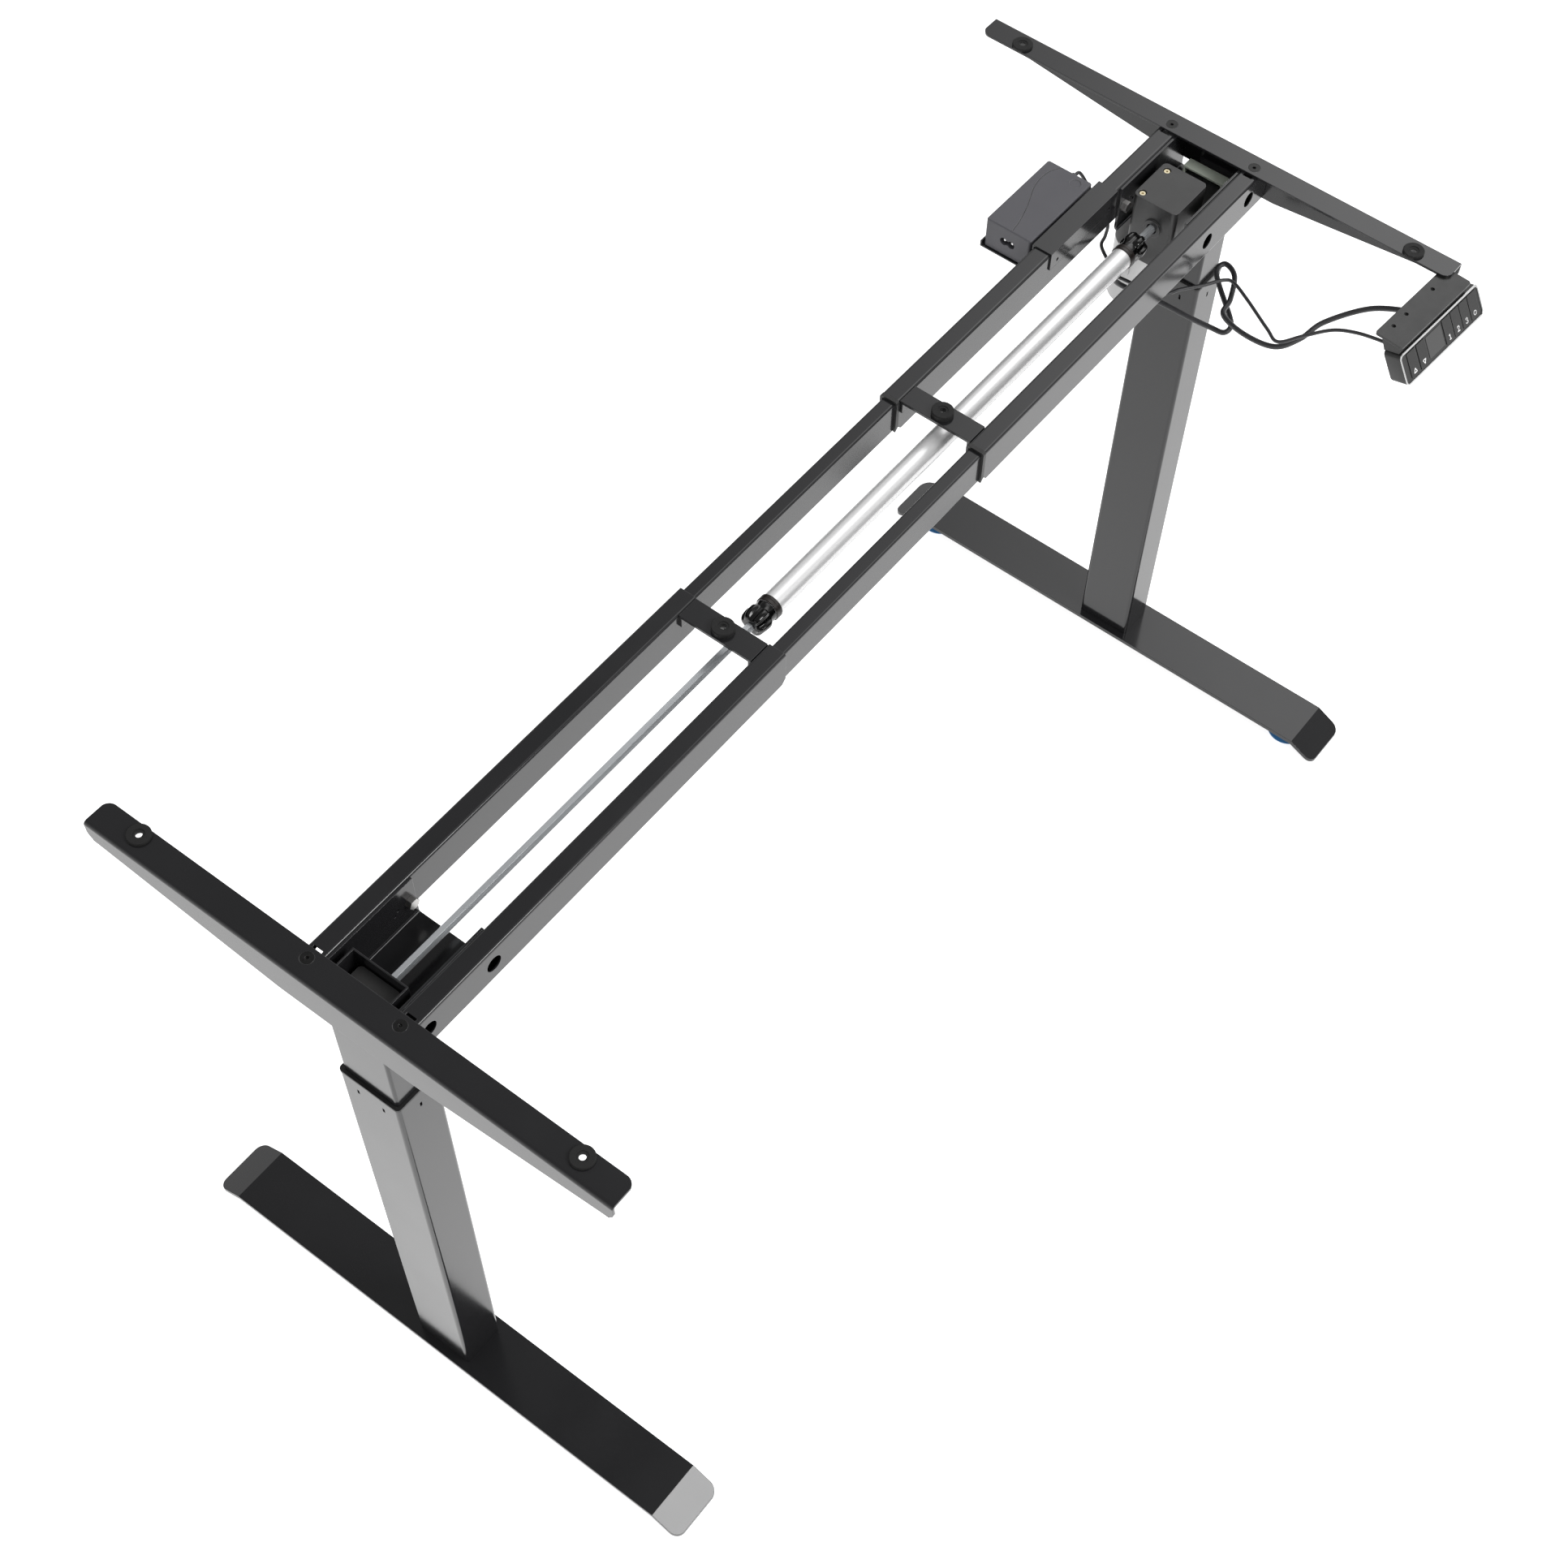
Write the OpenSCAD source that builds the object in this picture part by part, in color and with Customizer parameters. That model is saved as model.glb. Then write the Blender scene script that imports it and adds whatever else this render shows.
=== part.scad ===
// Height adjustable desk frame with one motor, a telescoping width and a push button handset.
// X runs along the desk to the motor end, Y from front to back and Z up. The origin is on the
// floor under the middle of the frame. Lengths are in millimetres, with the legs fully lowered.

/* [Frame] */
// Height of the rail tops above the floor
rail_top = 728; // [640:1:1300]
// Distance from the middle of the frame to the outer face of a side bracket
frame_half = 631; // [560:1:900]
// Distance from the middle of the frame to the inner end of an outer rail
rail_start = 146; // [60:1:300]
// Height of an outer rail
rail_h = 40; // [30:1:60]
// Width of an outer rail
rail_w = 19; // [14:1:40]
// Distance from the middle plane to the axis of a rail
rail_y = 48.5; // [40:0.5:90]
// Wall of the rail tubes
rail_t = 1.5; // [1:0.1:3]
// Space between an outer rail and a middle rail on each side
rail_gap = 1; // [0.5:0.1:2]
// Outer corner radius of the rails
rail_r = 2.5; // [1:0.1:4]
// Length of the middle rails
middle_len = 860; // [500:5:900]
// Size of the cut at the lower corner of a rail's inner end
rail_cut = 7; // [2:0.5:12]
// Radius of the tool holes in the outer face of a rail
access_r = 8; // [4:0.5:10]
// Distance of the inner tool holes from the outer face of a side bracket
access_inner = 112; // [90:1:200]
// Distance of the outer tool holes from the outer face of a side bracket
access_outer = 37; // [30:1:60]
// Depth of the tool holes under the rail tops
access_drop = 19; // [12:0.5:28]
// Length of the plastic bushing at the inner end of a rail
bushing_len = 38; // [15:1:60]
// Thickness of the bushing collar
collar_t = 4; // [1:0.5:6]
// Length of the plug at the outer end of a rail
plug_len = 23; // [20:1:40]

/* [Cross bars] */
// Width of a cross bar
crossbar_w = 23.5; // [22:0.5:40]
// Thickness of a cross bar
crossbar_t = 3; // [2:0.5:6]
// Depth of the welded ends of a cross bar
crossbar_drop = 14; // [6:0.5:30]

/* [Side brackets] */
// Length of a side bracket
bracket_len = 548; // [480:1:800]
// Width of its top plate
bracket_w = 28; // [25:0.5:60]
// Sheet thickness of the side brackets
sheet = 2.5; // [1.5:0.1:4]
// Outer bend radius of the side brackets
bend_r = 4; // [3:0.1:6]
// Depth of the outer flange in the middle
flange_mid = 44; // [30:1:80]
// Depth of the outer flange at the kinks
flange_kink = 37; // [25:1:80]
// Depth of the outer flange at the ends
flange_end = 21; // [16:1:60]
// Distance of the inner kinks from the middle
kink_inner = 70; // [40:1:120]
// Distance of the outer kinks from the middle
kink_outer = 134; // [125:1:230]
// Corner radius of the bracket ends
bracket_r = 9; // [3:0.5:12]
// Distance of the desk top fixing holes from the middle, along a bracket
pad_y = 230; // [150:1:235]
// Distance of the fixing holes and frame screws from the outer face of a bracket
hole_in = 18.5; // [14:0.5:22]
// Radius of a rubber pad
pad_r = 10.5; // [8:0.5:12]
// Height of a rubber pad over its bracket
pad_h = 2.5; // [1.5:0.1:5]
// Radius of the fixing holes
hole_r = 3; // [2:0.1:4]
// Radius of the frame screws
screw_r = 3; // [2:0.1:4]

/* [Leg brackets] */
// Distance of the inner end of a leg bracket from the outer face of a side bracket
channel_in = 124; // [121:1:150]
// Depth of the channel floor under the rail tops
channel_drop = 49.5; // [45:0.5:60]
// Sheet thickness of the leg brackets
channel_t = 2.5; // [1.5:0.1:4]
// Bend radius of the leg brackets
channel_r = 4; // [3:0.5:6]
// Distance of the bracket bolts from the inner end of a leg bracket
bolt_in = 7.5; // [6:0.5:20]
// Depth of the bracket bolts under the rail tops
bolt_drop = 25; // [15:0.5:32]
// Distance across the flats of a bolt head
bolt_flats = 10; // [7:0.5:13]

/* [Legs] */
// Distance of the axis of a leg from the outer face of a side bracket
leg_in = 29.5; // [26:0.5:40]
// Outer column size along the desk
column_w = 48; // [46:1:60]
// Outer column size from front to back
column_d = 66; // [60:1:90]
// Wall of both columns
column_t = 2; // [1.2:0.1:2.5]
// Space between the two columns on each side
column_gap = 1; // [0.5:0.1:2]
// Outer corner radius of the columns
column_r = 4; // [3:0.5:8]
// Height of the top edge of the outer column
column_top = 583; // [560:1:620]
// Height of the lower end of the inner column
inner_start = 30; // [26:1:60]
// Travel of each leg
leg_travel = 470; // [300:10:480]
// Length of the plastic guide in the mouth of the outer column
guide_len = 60; // [40:1:70]
// Height of the lip of the guide
guide_lip = 2.5; // [1:0.5:6]
// Radius of the lead screws
lead_r = 7; // [5:0.5:8]
// Radius of the nut tube
nut_tube_r = 12; // [11:0.5:13]
// Wall of the nut tube
nut_tube_t = 3; // [2:0.5:3]
// Depth of the top of the nut under the top edge of the outer column
nut_drop = 11; // [0:1:60]
// Length of the nut
nut_len = 24; // [15:1:40]

/* [Feet] */
// Width of a foot
foot_w = 65; // [52:1:66]
// Distance from the middle to the bend line of a foot
foot_bend = 281; // [270:1:330]
// Distance from the middle to the end of a foot
foot_end = 313.5; // [312:0.5:420]
// Height of the top of a foot
foot_top = 22; // [19:0.5:26]
// Plate thickness of a foot
foot_t = 5; // [3:0.5:6]
// Height of the upper edge at the end of a foot
foot_tip = 6; // [5:0.5:12]
// Corner radius of the foot ends
foot_r = 11; // [3:0.5:20]
// Radius of a levelling glide
glide_r = 24; // [15:0.5:28]
// Thickness of a levelling glide
glide_t = 6; // [4:0.5:8]
// Distance of the glides from the middle
glide_y = 262; // [200:1:268]
// Shift of the glides towards the middle of the frame
glide_shift = 3; // [0:0.5:6]
// Radius of a glide stem
stem_r = 4; // [3:0.5:6]

/* [Drive] */
// Depth of the drive shaft under the rail tops
shaft_drop = 32; // [28:0.5:34]
// Distance across the flats of the hex rod and the hex stub
shaft_flats = 8; // [6:0.5:9]
// Distance of the outer end of the hex rod from the outer face of a side bracket
rod_in = 37; // [35:1:39]
// Length of the hex rod
rod_len = 759; // [700:1:770]
// Radius of the drive tube
tube_r = 9.5; // [8.5:0.5:12]
// Wall of the drive tube
tube_t = 1.5; // [1:0.1:2]
// Distance from the middle of the frame to the idle end of the drive tube
tube_near = 98; // [80:1:110]
// Distance of the motor end of the drive tube from the outer face of a side bracket
tube_in = 166; // [160:1:200]
// Length of a hand knob
knob_len = 24; // [15:1:30]
// Radius of the body of a knob
knob_r = 10; // [9:0.5:12]
// Radius of a knob lobe
lobe_r = 4.5; // [2:0.5:6]
// Radius of the rings at the tube ends
ring_r = 11; // [10.5:0.5:14]
// Length of the rings at the tube ends
ring_len = 7; // [3:0.5:12]

/* [Gearboxes] */
// Distance of the near face of the motor gearbox from the outer face of a side bracket
gear_in = 118; // [114:1:120]
// Length of the motor gearbox along the desk
gear_w = 57; // [50:1:58]
// Depth of the motor gearbox in front of the shaft
gear_front = 23; // [15:0.5:30]
// Depth of the motor gearbox behind the shaft
gear_back = 27; // [15:0.5:30]
// Height of the motor gearbox
gear_h = 74; // [60:1:90]
// Distance of the gearbox tops under the rail tops
gear_drop = 4; // [2:0.5:10]
// Radius of the motor
motor_r = 28; // [20:0.5:29]
// Length of the motor
motor_len = 70; // [40:1:120]
// Height of the idle gearbox over the channel floor
idle_h = 33.5; // [26:0.5:45]
// Length of the idle gearbox along the desk
idle_w = 42; // [36:1:44]
// Width of the idle gearbox
idle_d = 43; // [30:1:50]
// Shift of the idle gearbox from the axis of its leg
idle_shift = 4.5; // [0:0.5:4.5]

/* [Power supply] */
// Distance of the near end of the power supply from the outer face of a side bracket
brick_in = 242; // [236:1:250]
// Length of the power supply
brick_len = 105; // [60:1:110]
// Width of the power supply
brick_w = 52; // [40:1:90]
// Height of the power supply
brick_h = 33; // [25:1:45]
// Gap between the power supply and its tray
brick_gap = 3.5; // [0.5:0.5:10]
// Length of the tray
tray_len = 113; // [111:1:114]
// Depth of the hook inside the rear rail
hook_drop = 18; // [8:0.5:30]
// Sheet thickness of the tray
tray_t = 1.5; // [1:0.1:2]

/* [Handset] */
// Distance of the near end of the handset from the outer face of a side bracket
hand_in = 131; // [131:1:141]
// Length of the handset
hand_len = 132.5; // [110:0.5:133]
// Width of a key
key_w = 13.4; // [10:0.2:13.8]
// Turn of the handset about the upright, in degrees
hand_yaw = -3.6; // [-6:0.1:0]
// Height of the front face, along its slope
face_h = 33; // [28:0.5:36]
// Slope of the front face, in degrees
face_tilt = 32; // [20:1:40]
// Depth of the handset case behind its front face
case_d = 17; // [10:0.5:20]

/* [Hidden] */
$fn = 48;
// Overrun of every cut
over = 0.5;
// Running clearance of sliding and turning fits
run = 0.06;
// Clearance of screws in their holes
seat = 0.2;
// Clearance of sheet pieces that lie against a rail
lay = 0.1;
// Gap between the end of a rail and the flange of its side bracket
end_gap = 0.5;
// Gap between the sides of a leg bracket and the rail tops
side_gap = 1;
// Room round a lead screw where it passes a plate
lead_room = 2;
// Distance of a cross bar from the inner ends of its rails
weld_in = 1;

bracket_top = rail_top + sheet;
rail_low = rail_top - rail_h;
rail_mid_z = rail_top - rail_h / 2;
rail_in = rail_y - rail_w / 2;
rail_out = rail_y + rail_w / 2;
rail_end = frame_half - sheet - end_gap;
middle_w = rail_w - 2 * (rail_t + rail_gap);
middle_h = rail_h - 2 * (rail_t + rail_gap);
fix_x = frame_half - hole_in;
crossbar_x = rail_start + crossbar_w / 2 + weld_in;
shaft_z = rail_top - shaft_drop;
rod_end = frame_half - rod_in;
tube_far = frame_half - tube_in;
floor_z = rail_top - channel_drop;
channel_low = floor_z - channel_t;
channel_y = rail_in - lay;
channel_start = frame_half - channel_in;
bolt_x = channel_start + bolt_in;
bolt_z = rail_top - bolt_drop;
leg_x = frame_half - leg_in;
nut_top = column_top - nut_drop;
inner_w = column_w - 2 * (column_t + column_gap);
inner_d = column_d - 2 * (column_t + column_gap);
gear_top = rail_top - gear_drop;
gear_low = gear_top - gear_h;
gear_start = frame_half - gear_in;
gear_d = gear_front + gear_back;
gear_end = gear_start + gear_w;
gear_y = (gear_back - gear_front) / 2;
brick_x = frame_half - brick_in;
hand_x = frame_half - hand_in;

coat = [0.09, 0.09, 0.1];
black_plastic = [0.07, 0.07, 0.08];
housing_grey = [0.13, 0.13, 0.14];

// Outline helpers

// A flat outline with rounded corners, centred
module round_rect(w, d, r) {
  square([w - 2 * r, d], center = true);
  square([w, d - 2 * r], center = true);
  for (sx = [-1, 1], sy = [-1, 1])
    translate([sx * (w / 2 - r), sy * (d / 2 - r)])
      circle(r);
}

// A prism with rounded upright edges, standing at height z
module round_block(w, d, r, h, z) {
  translate([0, 0, z])
    linear_extrude(height = h)
      round_rect(w, d, r);
}

// An outline drawn in Y and Z, extruded along X from x0 to x1
module along_x(x0, x1) {
  translate([x0, 0, 0])
    rotate([90, 0, 90])
      linear_extrude(height = x1 - x0)
        children();
}

// A cylinder along X on the given height
module rod_x(r, x0, x1) {
  translate([x0, 0, 0])
    rotate([0, 90, 0])
      cylinder(r = r, h = x1 - x0);
}

// A cylinder along Y
module rod_y(r, y0, y1) {
  translate([0, y1, 0])
    rotate([90, 0, 0])
      cylinder(r = r, h = y1 - y0);
}

// A six sided bar along X with a level flat on top
module hex_x(flats, x0, x1) {
  translate([x0, 0, 0])
    rotate([90, 0, 90])
      cylinder(r = flats / sqrt(3), h = x1 - x0, $fn = 6);
}

// Children at both rails
module both_rails() {
  for (s = [-1, 1])
    translate([0, s * rail_y, 0])
      children();
}

// Children turned to the front and to the back
module both_sides() {
  for (s = [0, 1])
    mirror([0, s, 0])
      children();
}

// Children mirrored to the idle end
module idle() {
  mirror([1, 0, 0])
    children();
}

// Rails

// A tube along X with its middle at the rail height
module tube_x(w, h, r, x0, x1) {
  translate([0, 0, rail_mid_z])
    along_x(x0, x1)
      difference() {
        round_rect(w, h, r);
        round_rect(w - 2 * rail_t, h - 2 * rail_t, r - rail_t + over);
      }
}

// The sloping cut at the lower corner of the inner ends
module corner_cut(w) {
  translate([rail_start, 0, rail_low])
    rotate([0, 45, 0])
      cube([rail_cut * sqrt(2), w + 2 * over, rail_cut * sqrt(2)], center = true);
}

// Two outer rails with tool holes on the outside and a relief short of the side bracket
module outer_rails() {
  relief_w = 5;
  relief_d = 10;
  relief_in = 3.5;
  relief_x = frame_half - bracket_w - relief_in;
  difference() {
    both_rails()
      tube_x(rail_w, rail_h, rail_r, rail_start, rail_end);
    both_sides()
      for (x = [frame_half - access_inner, frame_half - access_outer])
        translate([x, 0, rail_top - access_drop])
          rod_y(access_r, rail_out - rail_t - over, rail_out + over);
    both_rails()
      translate([relief_x, -relief_d / 2, rail_top - rail_t - over])
        cube([relief_w, relief_d, rail_t + 2 * over]);
    both_rails()
      translate([fix_x, 0, rail_top - rail_t - over])
        cylinder(r = screw_r + seat, h = rail_t + 2 * over);
    both_rails()
      corner_cut(rail_w);
    both_sides()
      translate([bolt_x, 0, bolt_z])
        rod_y(screw_r + seat, rail_in - over, rail_in + rail_t + over);
  }
}

// Bushings at the inner ends and plugs at the outer ends of the outer rails
module rail_inserts(collar) {
  slot_w = rail_w - 2 * rail_t;
  slot_h = rail_h - 2 * rail_t;
  slot_r = rail_r - rail_t + over;
  both_rails() {
    difference() {
      union() {
        translate([0, 0, rail_mid_z])
          along_x(rail_start - collar, rail_start - collar + bushing_len)
            round_rect(slot_w, slot_h, slot_r);
        if (collar > 0)
          translate([0, 0, rail_mid_z])
            along_x(rail_start - collar, rail_start)
              round_rect(rail_w + over, rail_h + over, rail_r);
      }
      translate([0, 0, rail_mid_z])
        along_x(rail_start - collar - over, rail_start + bushing_len + over)
          square([middle_w + 2 * run, middle_h + 2 * run], center = true);
      corner_cut(rail_w + 2 * over);
    }
    difference() {
      translate([0, 0, rail_mid_z])
        along_x(rail_end - plug_len, rail_end)
          round_rect(slot_w, slot_h, slot_r);
      translate([fix_x, 0, rail_mid_z])
        cylinder(r = screw_r, h = rail_h);
    }
  }
}

// Middle rails that telescope in the outer rails
module middle_rails() {
  color(coat)
    both_rails()
      tube_x(middle_w, middle_h, rail_t + over, -middle_len / 2, middle_len / 2);
}

// A cross bar welded between the inner ends of two outer rails
module crossbar() {
  color(coat)
    difference() {
      translate([crossbar_x - crossbar_w / 2, 0, 0])
        along_x(0, crossbar_w)
          difference() {
            translate([-rail_in, rail_top - crossbar_drop])
              square([2 * rail_in, crossbar_drop]);
            translate([crossbar_t - rail_in, rail_top - crossbar_drop - over])
              square([2 * (rail_in - crossbar_t), crossbar_drop - crossbar_t + over]);
          }
      translate([crossbar_x, 0, rail_top - crossbar_t - over])
        cylinder(r = hole_r, h = crossbar_t + 2 * over);
    }
}

// Side brackets

// Outline of a side bracket seen along X, with rounded lower ends
module flange_outline() {
  half = bracket_len / 2;
  low = bracket_top - flange_end;
  difference() {
    polygon([
      [-half, bracket_top], [-half, low],
      [-kink_outer, bracket_top - flange_kink], [-kink_inner, bracket_top - flange_mid],
      [kink_inner, bracket_top - flange_mid], [kink_outer, bracket_top - flange_kink],
      [half, low], [half, bracket_top]
    ]);
    for (s = [0, 1])
      mirror([s, 0])
        translate([half - bracket_r, low + bracket_r])
          difference() {
            translate([0, -bracket_r - over])
              square(bracket_r + over);
            circle(bracket_r);
          }
  }
}

// Side bracket bent from one sheet, with its fixing holes and the seats of the frame screws
module side_bracket() {
  sink = 2;
  hole_room = 1;
  color(coat)
    difference() {
      intersection() {
        translate([0, bracket_len / 2, 0])
          rotate([90, 0, 0])
            linear_extrude(height = bracket_len)
              union() {
                translate([frame_half - bracket_w, rail_top])
                  square([bracket_w - bend_r, sheet]);
                translate([frame_half - sheet, bracket_top - flange_mid])
                  square([sheet, flange_mid - bend_r]);
                translate([frame_half - bend_r, bracket_top - bend_r])
                  intersection() {
                    difference() {
                      circle(bend_r);
                      circle(bend_r - sheet);
                    }
                    square(bend_r + over);
                  }
              }
        along_x(frame_half - bracket_w - over, frame_half + over)
          flange_outline();
        translate([frame_half + bracket_w / 2, 0, 0])
          round_block(3 * bracket_w, bracket_len + over, bracket_r, bracket_top + over, 0);
      }
      both_sides()
        translate([fix_x, pad_y, rail_top - over])
          cylinder(r = hole_r + hole_room, h = sheet + 2 * over);
      both_rails()
        translate([fix_x, 0, 0]) {
          translate([0, 0, rail_top - over])
            cylinder(r = screw_r + seat, h = sheet + 2 * over);
          translate([0, 0, bracket_top - sink])
            cylinder(r1 = screw_r + seat, r2 = 2 * screw_r + seat, h = sink);
          translate([0, 0, bracket_top])
            cylinder(r = 2 * screw_r + seat, h = over);
        }
    }
}

// Countersunk hex socket screws that hold a side bracket to the rail plugs
module bracket_screws() {
  screw_len = 14;
  sink = 2;
  key_r = 2;
  color([0.12, 0.12, 0.12])
    both_rails()
      translate([fix_x, 0, bracket_top])
        difference() {
          union() {
            translate([0, 0, -screw_len])
              cylinder(r = screw_r, h = screw_len - lay);
            translate([0, 0, -sink])
              cylinder(r1 = screw_r, r2 = 2 * screw_r, h = sink - lay);
          }
          translate([0, 0, -sink])
            cylinder(r = key_r, h = sink + over, $fn = 6);
        }
}

// One rubber pad with a recess round its hole
module pad(z0, h) {
  bevel = 0.6;
  recess_in = 2.2;
  difference() {
    union() {
      translate([0, 0, z0])
        cylinder(r = pad_r, h = h - bevel);
      translate([0, 0, z0 + h - bevel])
        cylinder(r = pad_r - bevel, h = bevel);
    }
    translate([0, 0, z0 - over])
      cylinder(r = hole_r, h = h + 2 * over);
    translate([0, 0, z0 + h - bevel])
      cylinder(r = hole_r + recess_in, h = bevel + over);
  }
}

// Rubber pads that carry the desk top
module desk_pads() {
  color([0.05, 0.05, 0.05]) {
    both_sides()
      translate([fix_x, pad_y, 0])
        pad(bracket_top, pad_h);
    translate([crossbar_x, 0, 0])
      pad(rail_top, pad_h + sheet);
  }
}

// Leg brackets and columns

// Channel that carries a leg between the rails, with its floor from the given place
module leg_bracket(floor_start) {
  relief_r = 1.5;
  relief_in = 13;
  relief_up = 1;
  relief_step = 4;
  end_x = frame_half - sheet - 2 * end_gap;
  side_top = rail_top - side_gap;
  difference() {
    along_x(channel_start, end_x)
      difference() {
        translate([0, (channel_low + side_top + channel_r) / 2])
          round_rect(2 * channel_y, side_top - channel_low + channel_r, channel_r);
        translate([0, (floor_z + side_top + channel_r) / 2 + over])
          round_rect(2 * (channel_y - channel_t), side_top - floor_z + channel_r + 2 * over,
            channel_r - channel_t);
        translate([-channel_y - over, side_top])
          square([2 * (channel_y + over), 2 * channel_r]);
      }
    translate([channel_start - over, -channel_y + channel_r, channel_low - over])
      cube([floor_start - channel_start + over, 2 * (channel_y - channel_r), channel_t + 2 * over]);
    translate([leg_x, 0, channel_low - over])
      cylinder(r = lead_r + lead_room, h = channel_t + 2 * over);
    both_sides() {
      translate([bolt_x, 0, bolt_z])
        rod_y(screw_r + seat, channel_y - channel_t - over, channel_y + over);
      for (i = [0, 1])
        translate([bolt_x + relief_in + i * relief_step, 0, bolt_z + relief_up - i * relief_step])
          rod_y(relief_r, channel_y - channel_t - over, channel_y + over);
    }
  }
}

// Hex headed bolts that hold a leg bracket to the inner faces of the rails
module bracket_bolts() {
  head_len = 6;
  color([0.75, 0.75, 0.7])
    both_sides()
      translate([bolt_x, 0, bolt_z]) {
        rod_y(screw_r, channel_y - channel_t - over, rail_in + rail_t);
        translate([0, channel_y - channel_t, 0])
          rotate([90, 0, 0])
            cylinder(r = bolt_flats / sqrt(3), h = head_len, $fn = 6);
      }
}

// Inner column under a leg bracket, with its closed top
module inner_column() {
  top_t = 4;
  color(coat)
    translate([leg_x, 0, 0])
      difference() {
        round_block(inner_w, inner_d, column_r - column_gap, channel_low - inner_start,
          inner_start);
        round_block(inner_w - 2 * column_t, inner_d - 2 * column_t, column_gap,
          channel_low - inner_start - top_t + over, inner_start - over);
        cylinder(r = lead_r + lead_room, h = channel_low + over);
      }
}

// Outer column with the small slots that hold the guide near its top
module outer_column() {
  slot_w = 2.5;
  slot_h = 6;
  slot_y = 14;
  slot_drop = 20;
  slot_step = 2;
  color(coat)
    translate([leg_x, 0, 0])
      difference() {
        round_block(column_w, column_d, column_r, column_top - foot_top, foot_top);
        round_block(column_w - 2 * column_t, column_d - 2 * column_t, column_r - column_t,
          column_top - foot_top + 2 * over, foot_top - over);
        for (y = [-slot_y, slot_y])
          translate([-column_w, y - slot_w / 2, column_top - slot_drop])
            cube([2 * column_w, slot_w, slot_h]);
        translate([-slot_w / 2, -column_d, column_top - slot_drop - slot_step])
          cube([slot_w, 2 * column_d, slot_h]);
      }
}

// Plastic guide in the mouth of the outer column, with a lip on its top edge
module column_guide() {
  lip_out = 0.6;
  color(black_plastic)
    translate([leg_x, 0, 0])
      difference() {
        union() {
          round_block(column_w - 2 * column_t, column_d - 2 * column_t, column_r - column_t,
            guide_len, column_top - guide_len);
          round_block(column_w + lip_out, column_d + lip_out, column_r, guide_lip, column_top);
        }
        round_block(inner_w + 2 * run, inner_d + 2 * run, column_r - column_gap,
          guide_len + guide_lip + 2 * over, column_top - guide_len - over);
      }
}

// Feet

// Side outline of a foot plate with both ends bent down
module foot_outline() {
  tip_t_share = 0.9;
  polygon([
    [-foot_end, foot_tip], [-foot_bend, foot_top], [foot_bend, foot_top], [foot_end, foot_tip],
    [foot_end, foot_tip - foot_t * tip_t_share], [foot_bend - foot_t / 4, foot_top - foot_t],
    [-foot_bend + foot_t / 4, foot_top - foot_t], [-foot_end, foot_tip - foot_t * tip_t_share]
  ]);
}

// Foot plate with threaded bosses for the levelling glides
module foot() {
  boss_r = 2 * stem_r;
  boss_gap = 2.5;
  boss_z = glide_t + boss_gap;
  skin = 1.2;
  color(coat)
    translate([leg_x, 0, 0])
      difference() {
        union() {
          intersection() {
            along_x(-foot_w / 2, foot_w / 2)
              foot_outline();
            round_block(foot_w, 2 * foot_end, foot_r, foot_top + 2 * over, -over);
          }
          both_sides()
            translate([-glide_shift, glide_y, boss_z])
              cylinder(r = boss_r, h = foot_top - foot_t / 2 - boss_z);
        }
        both_sides()
          translate([-glide_shift, glide_y, boss_z - over])
            cylinder(r = stem_r + run, h = foot_top - skin - boss_z + over);
      }
}

// A levelling glide at the front or the back of a foot
module glide(side) {
  bevel = 1.5;
  stem_gap = 1.5;
  stem_top = foot_top - stem_gap;
  color([0.1, 0.42, 0.62])
    translate([leg_x - glide_shift, side * glide_y, 0]) {
      rotate_extrude()
        polygon([
          [0, 0], [glide_r - bevel, 0], [glide_r, bevel], [glide_r, glide_t - 2 * bevel],
          [glide_r - 2 * bevel, glide_t], [stem_r, glide_t], [stem_r, stem_top], [0, stem_top]
        ]);
    }
}

// Lift drive

// Tube that stands on the foot and carries the nut
module nut_tube() {
  color([0.6, 0.6, 0.6])
    translate([leg_x, 0, foot_top])
      difference() {
        cylinder(r = nut_tube_r, h = nut_top - nut_len - foot_top);
        translate([0, 0, -over])
          cylinder(r = nut_tube_r - nut_tube_t, h = nut_top);
      }
}

// Nut on the top of the nut tube
module lead_nut() {
  rim = 1.5;
  color([0.9, 0.88, 0.8])
    translate([leg_x, 0, nut_top - nut_len])
      difference() {
        union() {
          cylinder(r = nut_tube_r + rim, h = nut_len);
          translate([0, 0, nut_len / 3])
            cylinder(r = nut_tube_r + 2 * rim, h = nut_len / 3);
        }
        translate([0, 0, -over])
          cylinder(r = lead_r + run, h = nut_len + 2 * over);
      }
}

// Lead screw that hangs from a gearbox, with a journal at its top
journal_share = 0.7;
journal_len = 8;
module lead_screw() {
  past_nut = 8;
  low = nut_top - nut_len - leg_travel - past_nut;
  color([0.7, 0.7, 0.7])
    translate([leg_x, 0, low]) {
      cylinder(r = lead_r, h = channel_low - low);
      cylinder(r = lead_r * journal_share, h = floor_z + journal_len - low);
    }
}

// The bore for the journal of a lead screw
module journal_bore() {
  translate([leg_x, 0, floor_z - over])
    cylinder(r = lead_r * journal_share + run, h = journal_len + 2 * over);
}

// Gearboxes and drive shaft

// Gearbox outline seen along X, with rounded lower corners
module gear_outline() {
  low_r = 18;
  translate([gear_y, gear_low + gear_h / 2]) {
    translate([0, low_r / 2])
      square([gear_d, gear_h - low_r], center = true);
    round_rect(gear_d, gear_h, low_r);
  }
}

// Places of the cap screws on the gearbox, as shares of its top
gear_screw_shares = [[0.12, 0.87], [0.84, 0.84]];
module at_gear_screws() {
  for (s = gear_screw_shares)
    translate([gear_start + s[0] * gear_w, s[1] * gear_d - gear_front, gear_top])
      children();
}
gear_pocket = 4;

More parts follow.
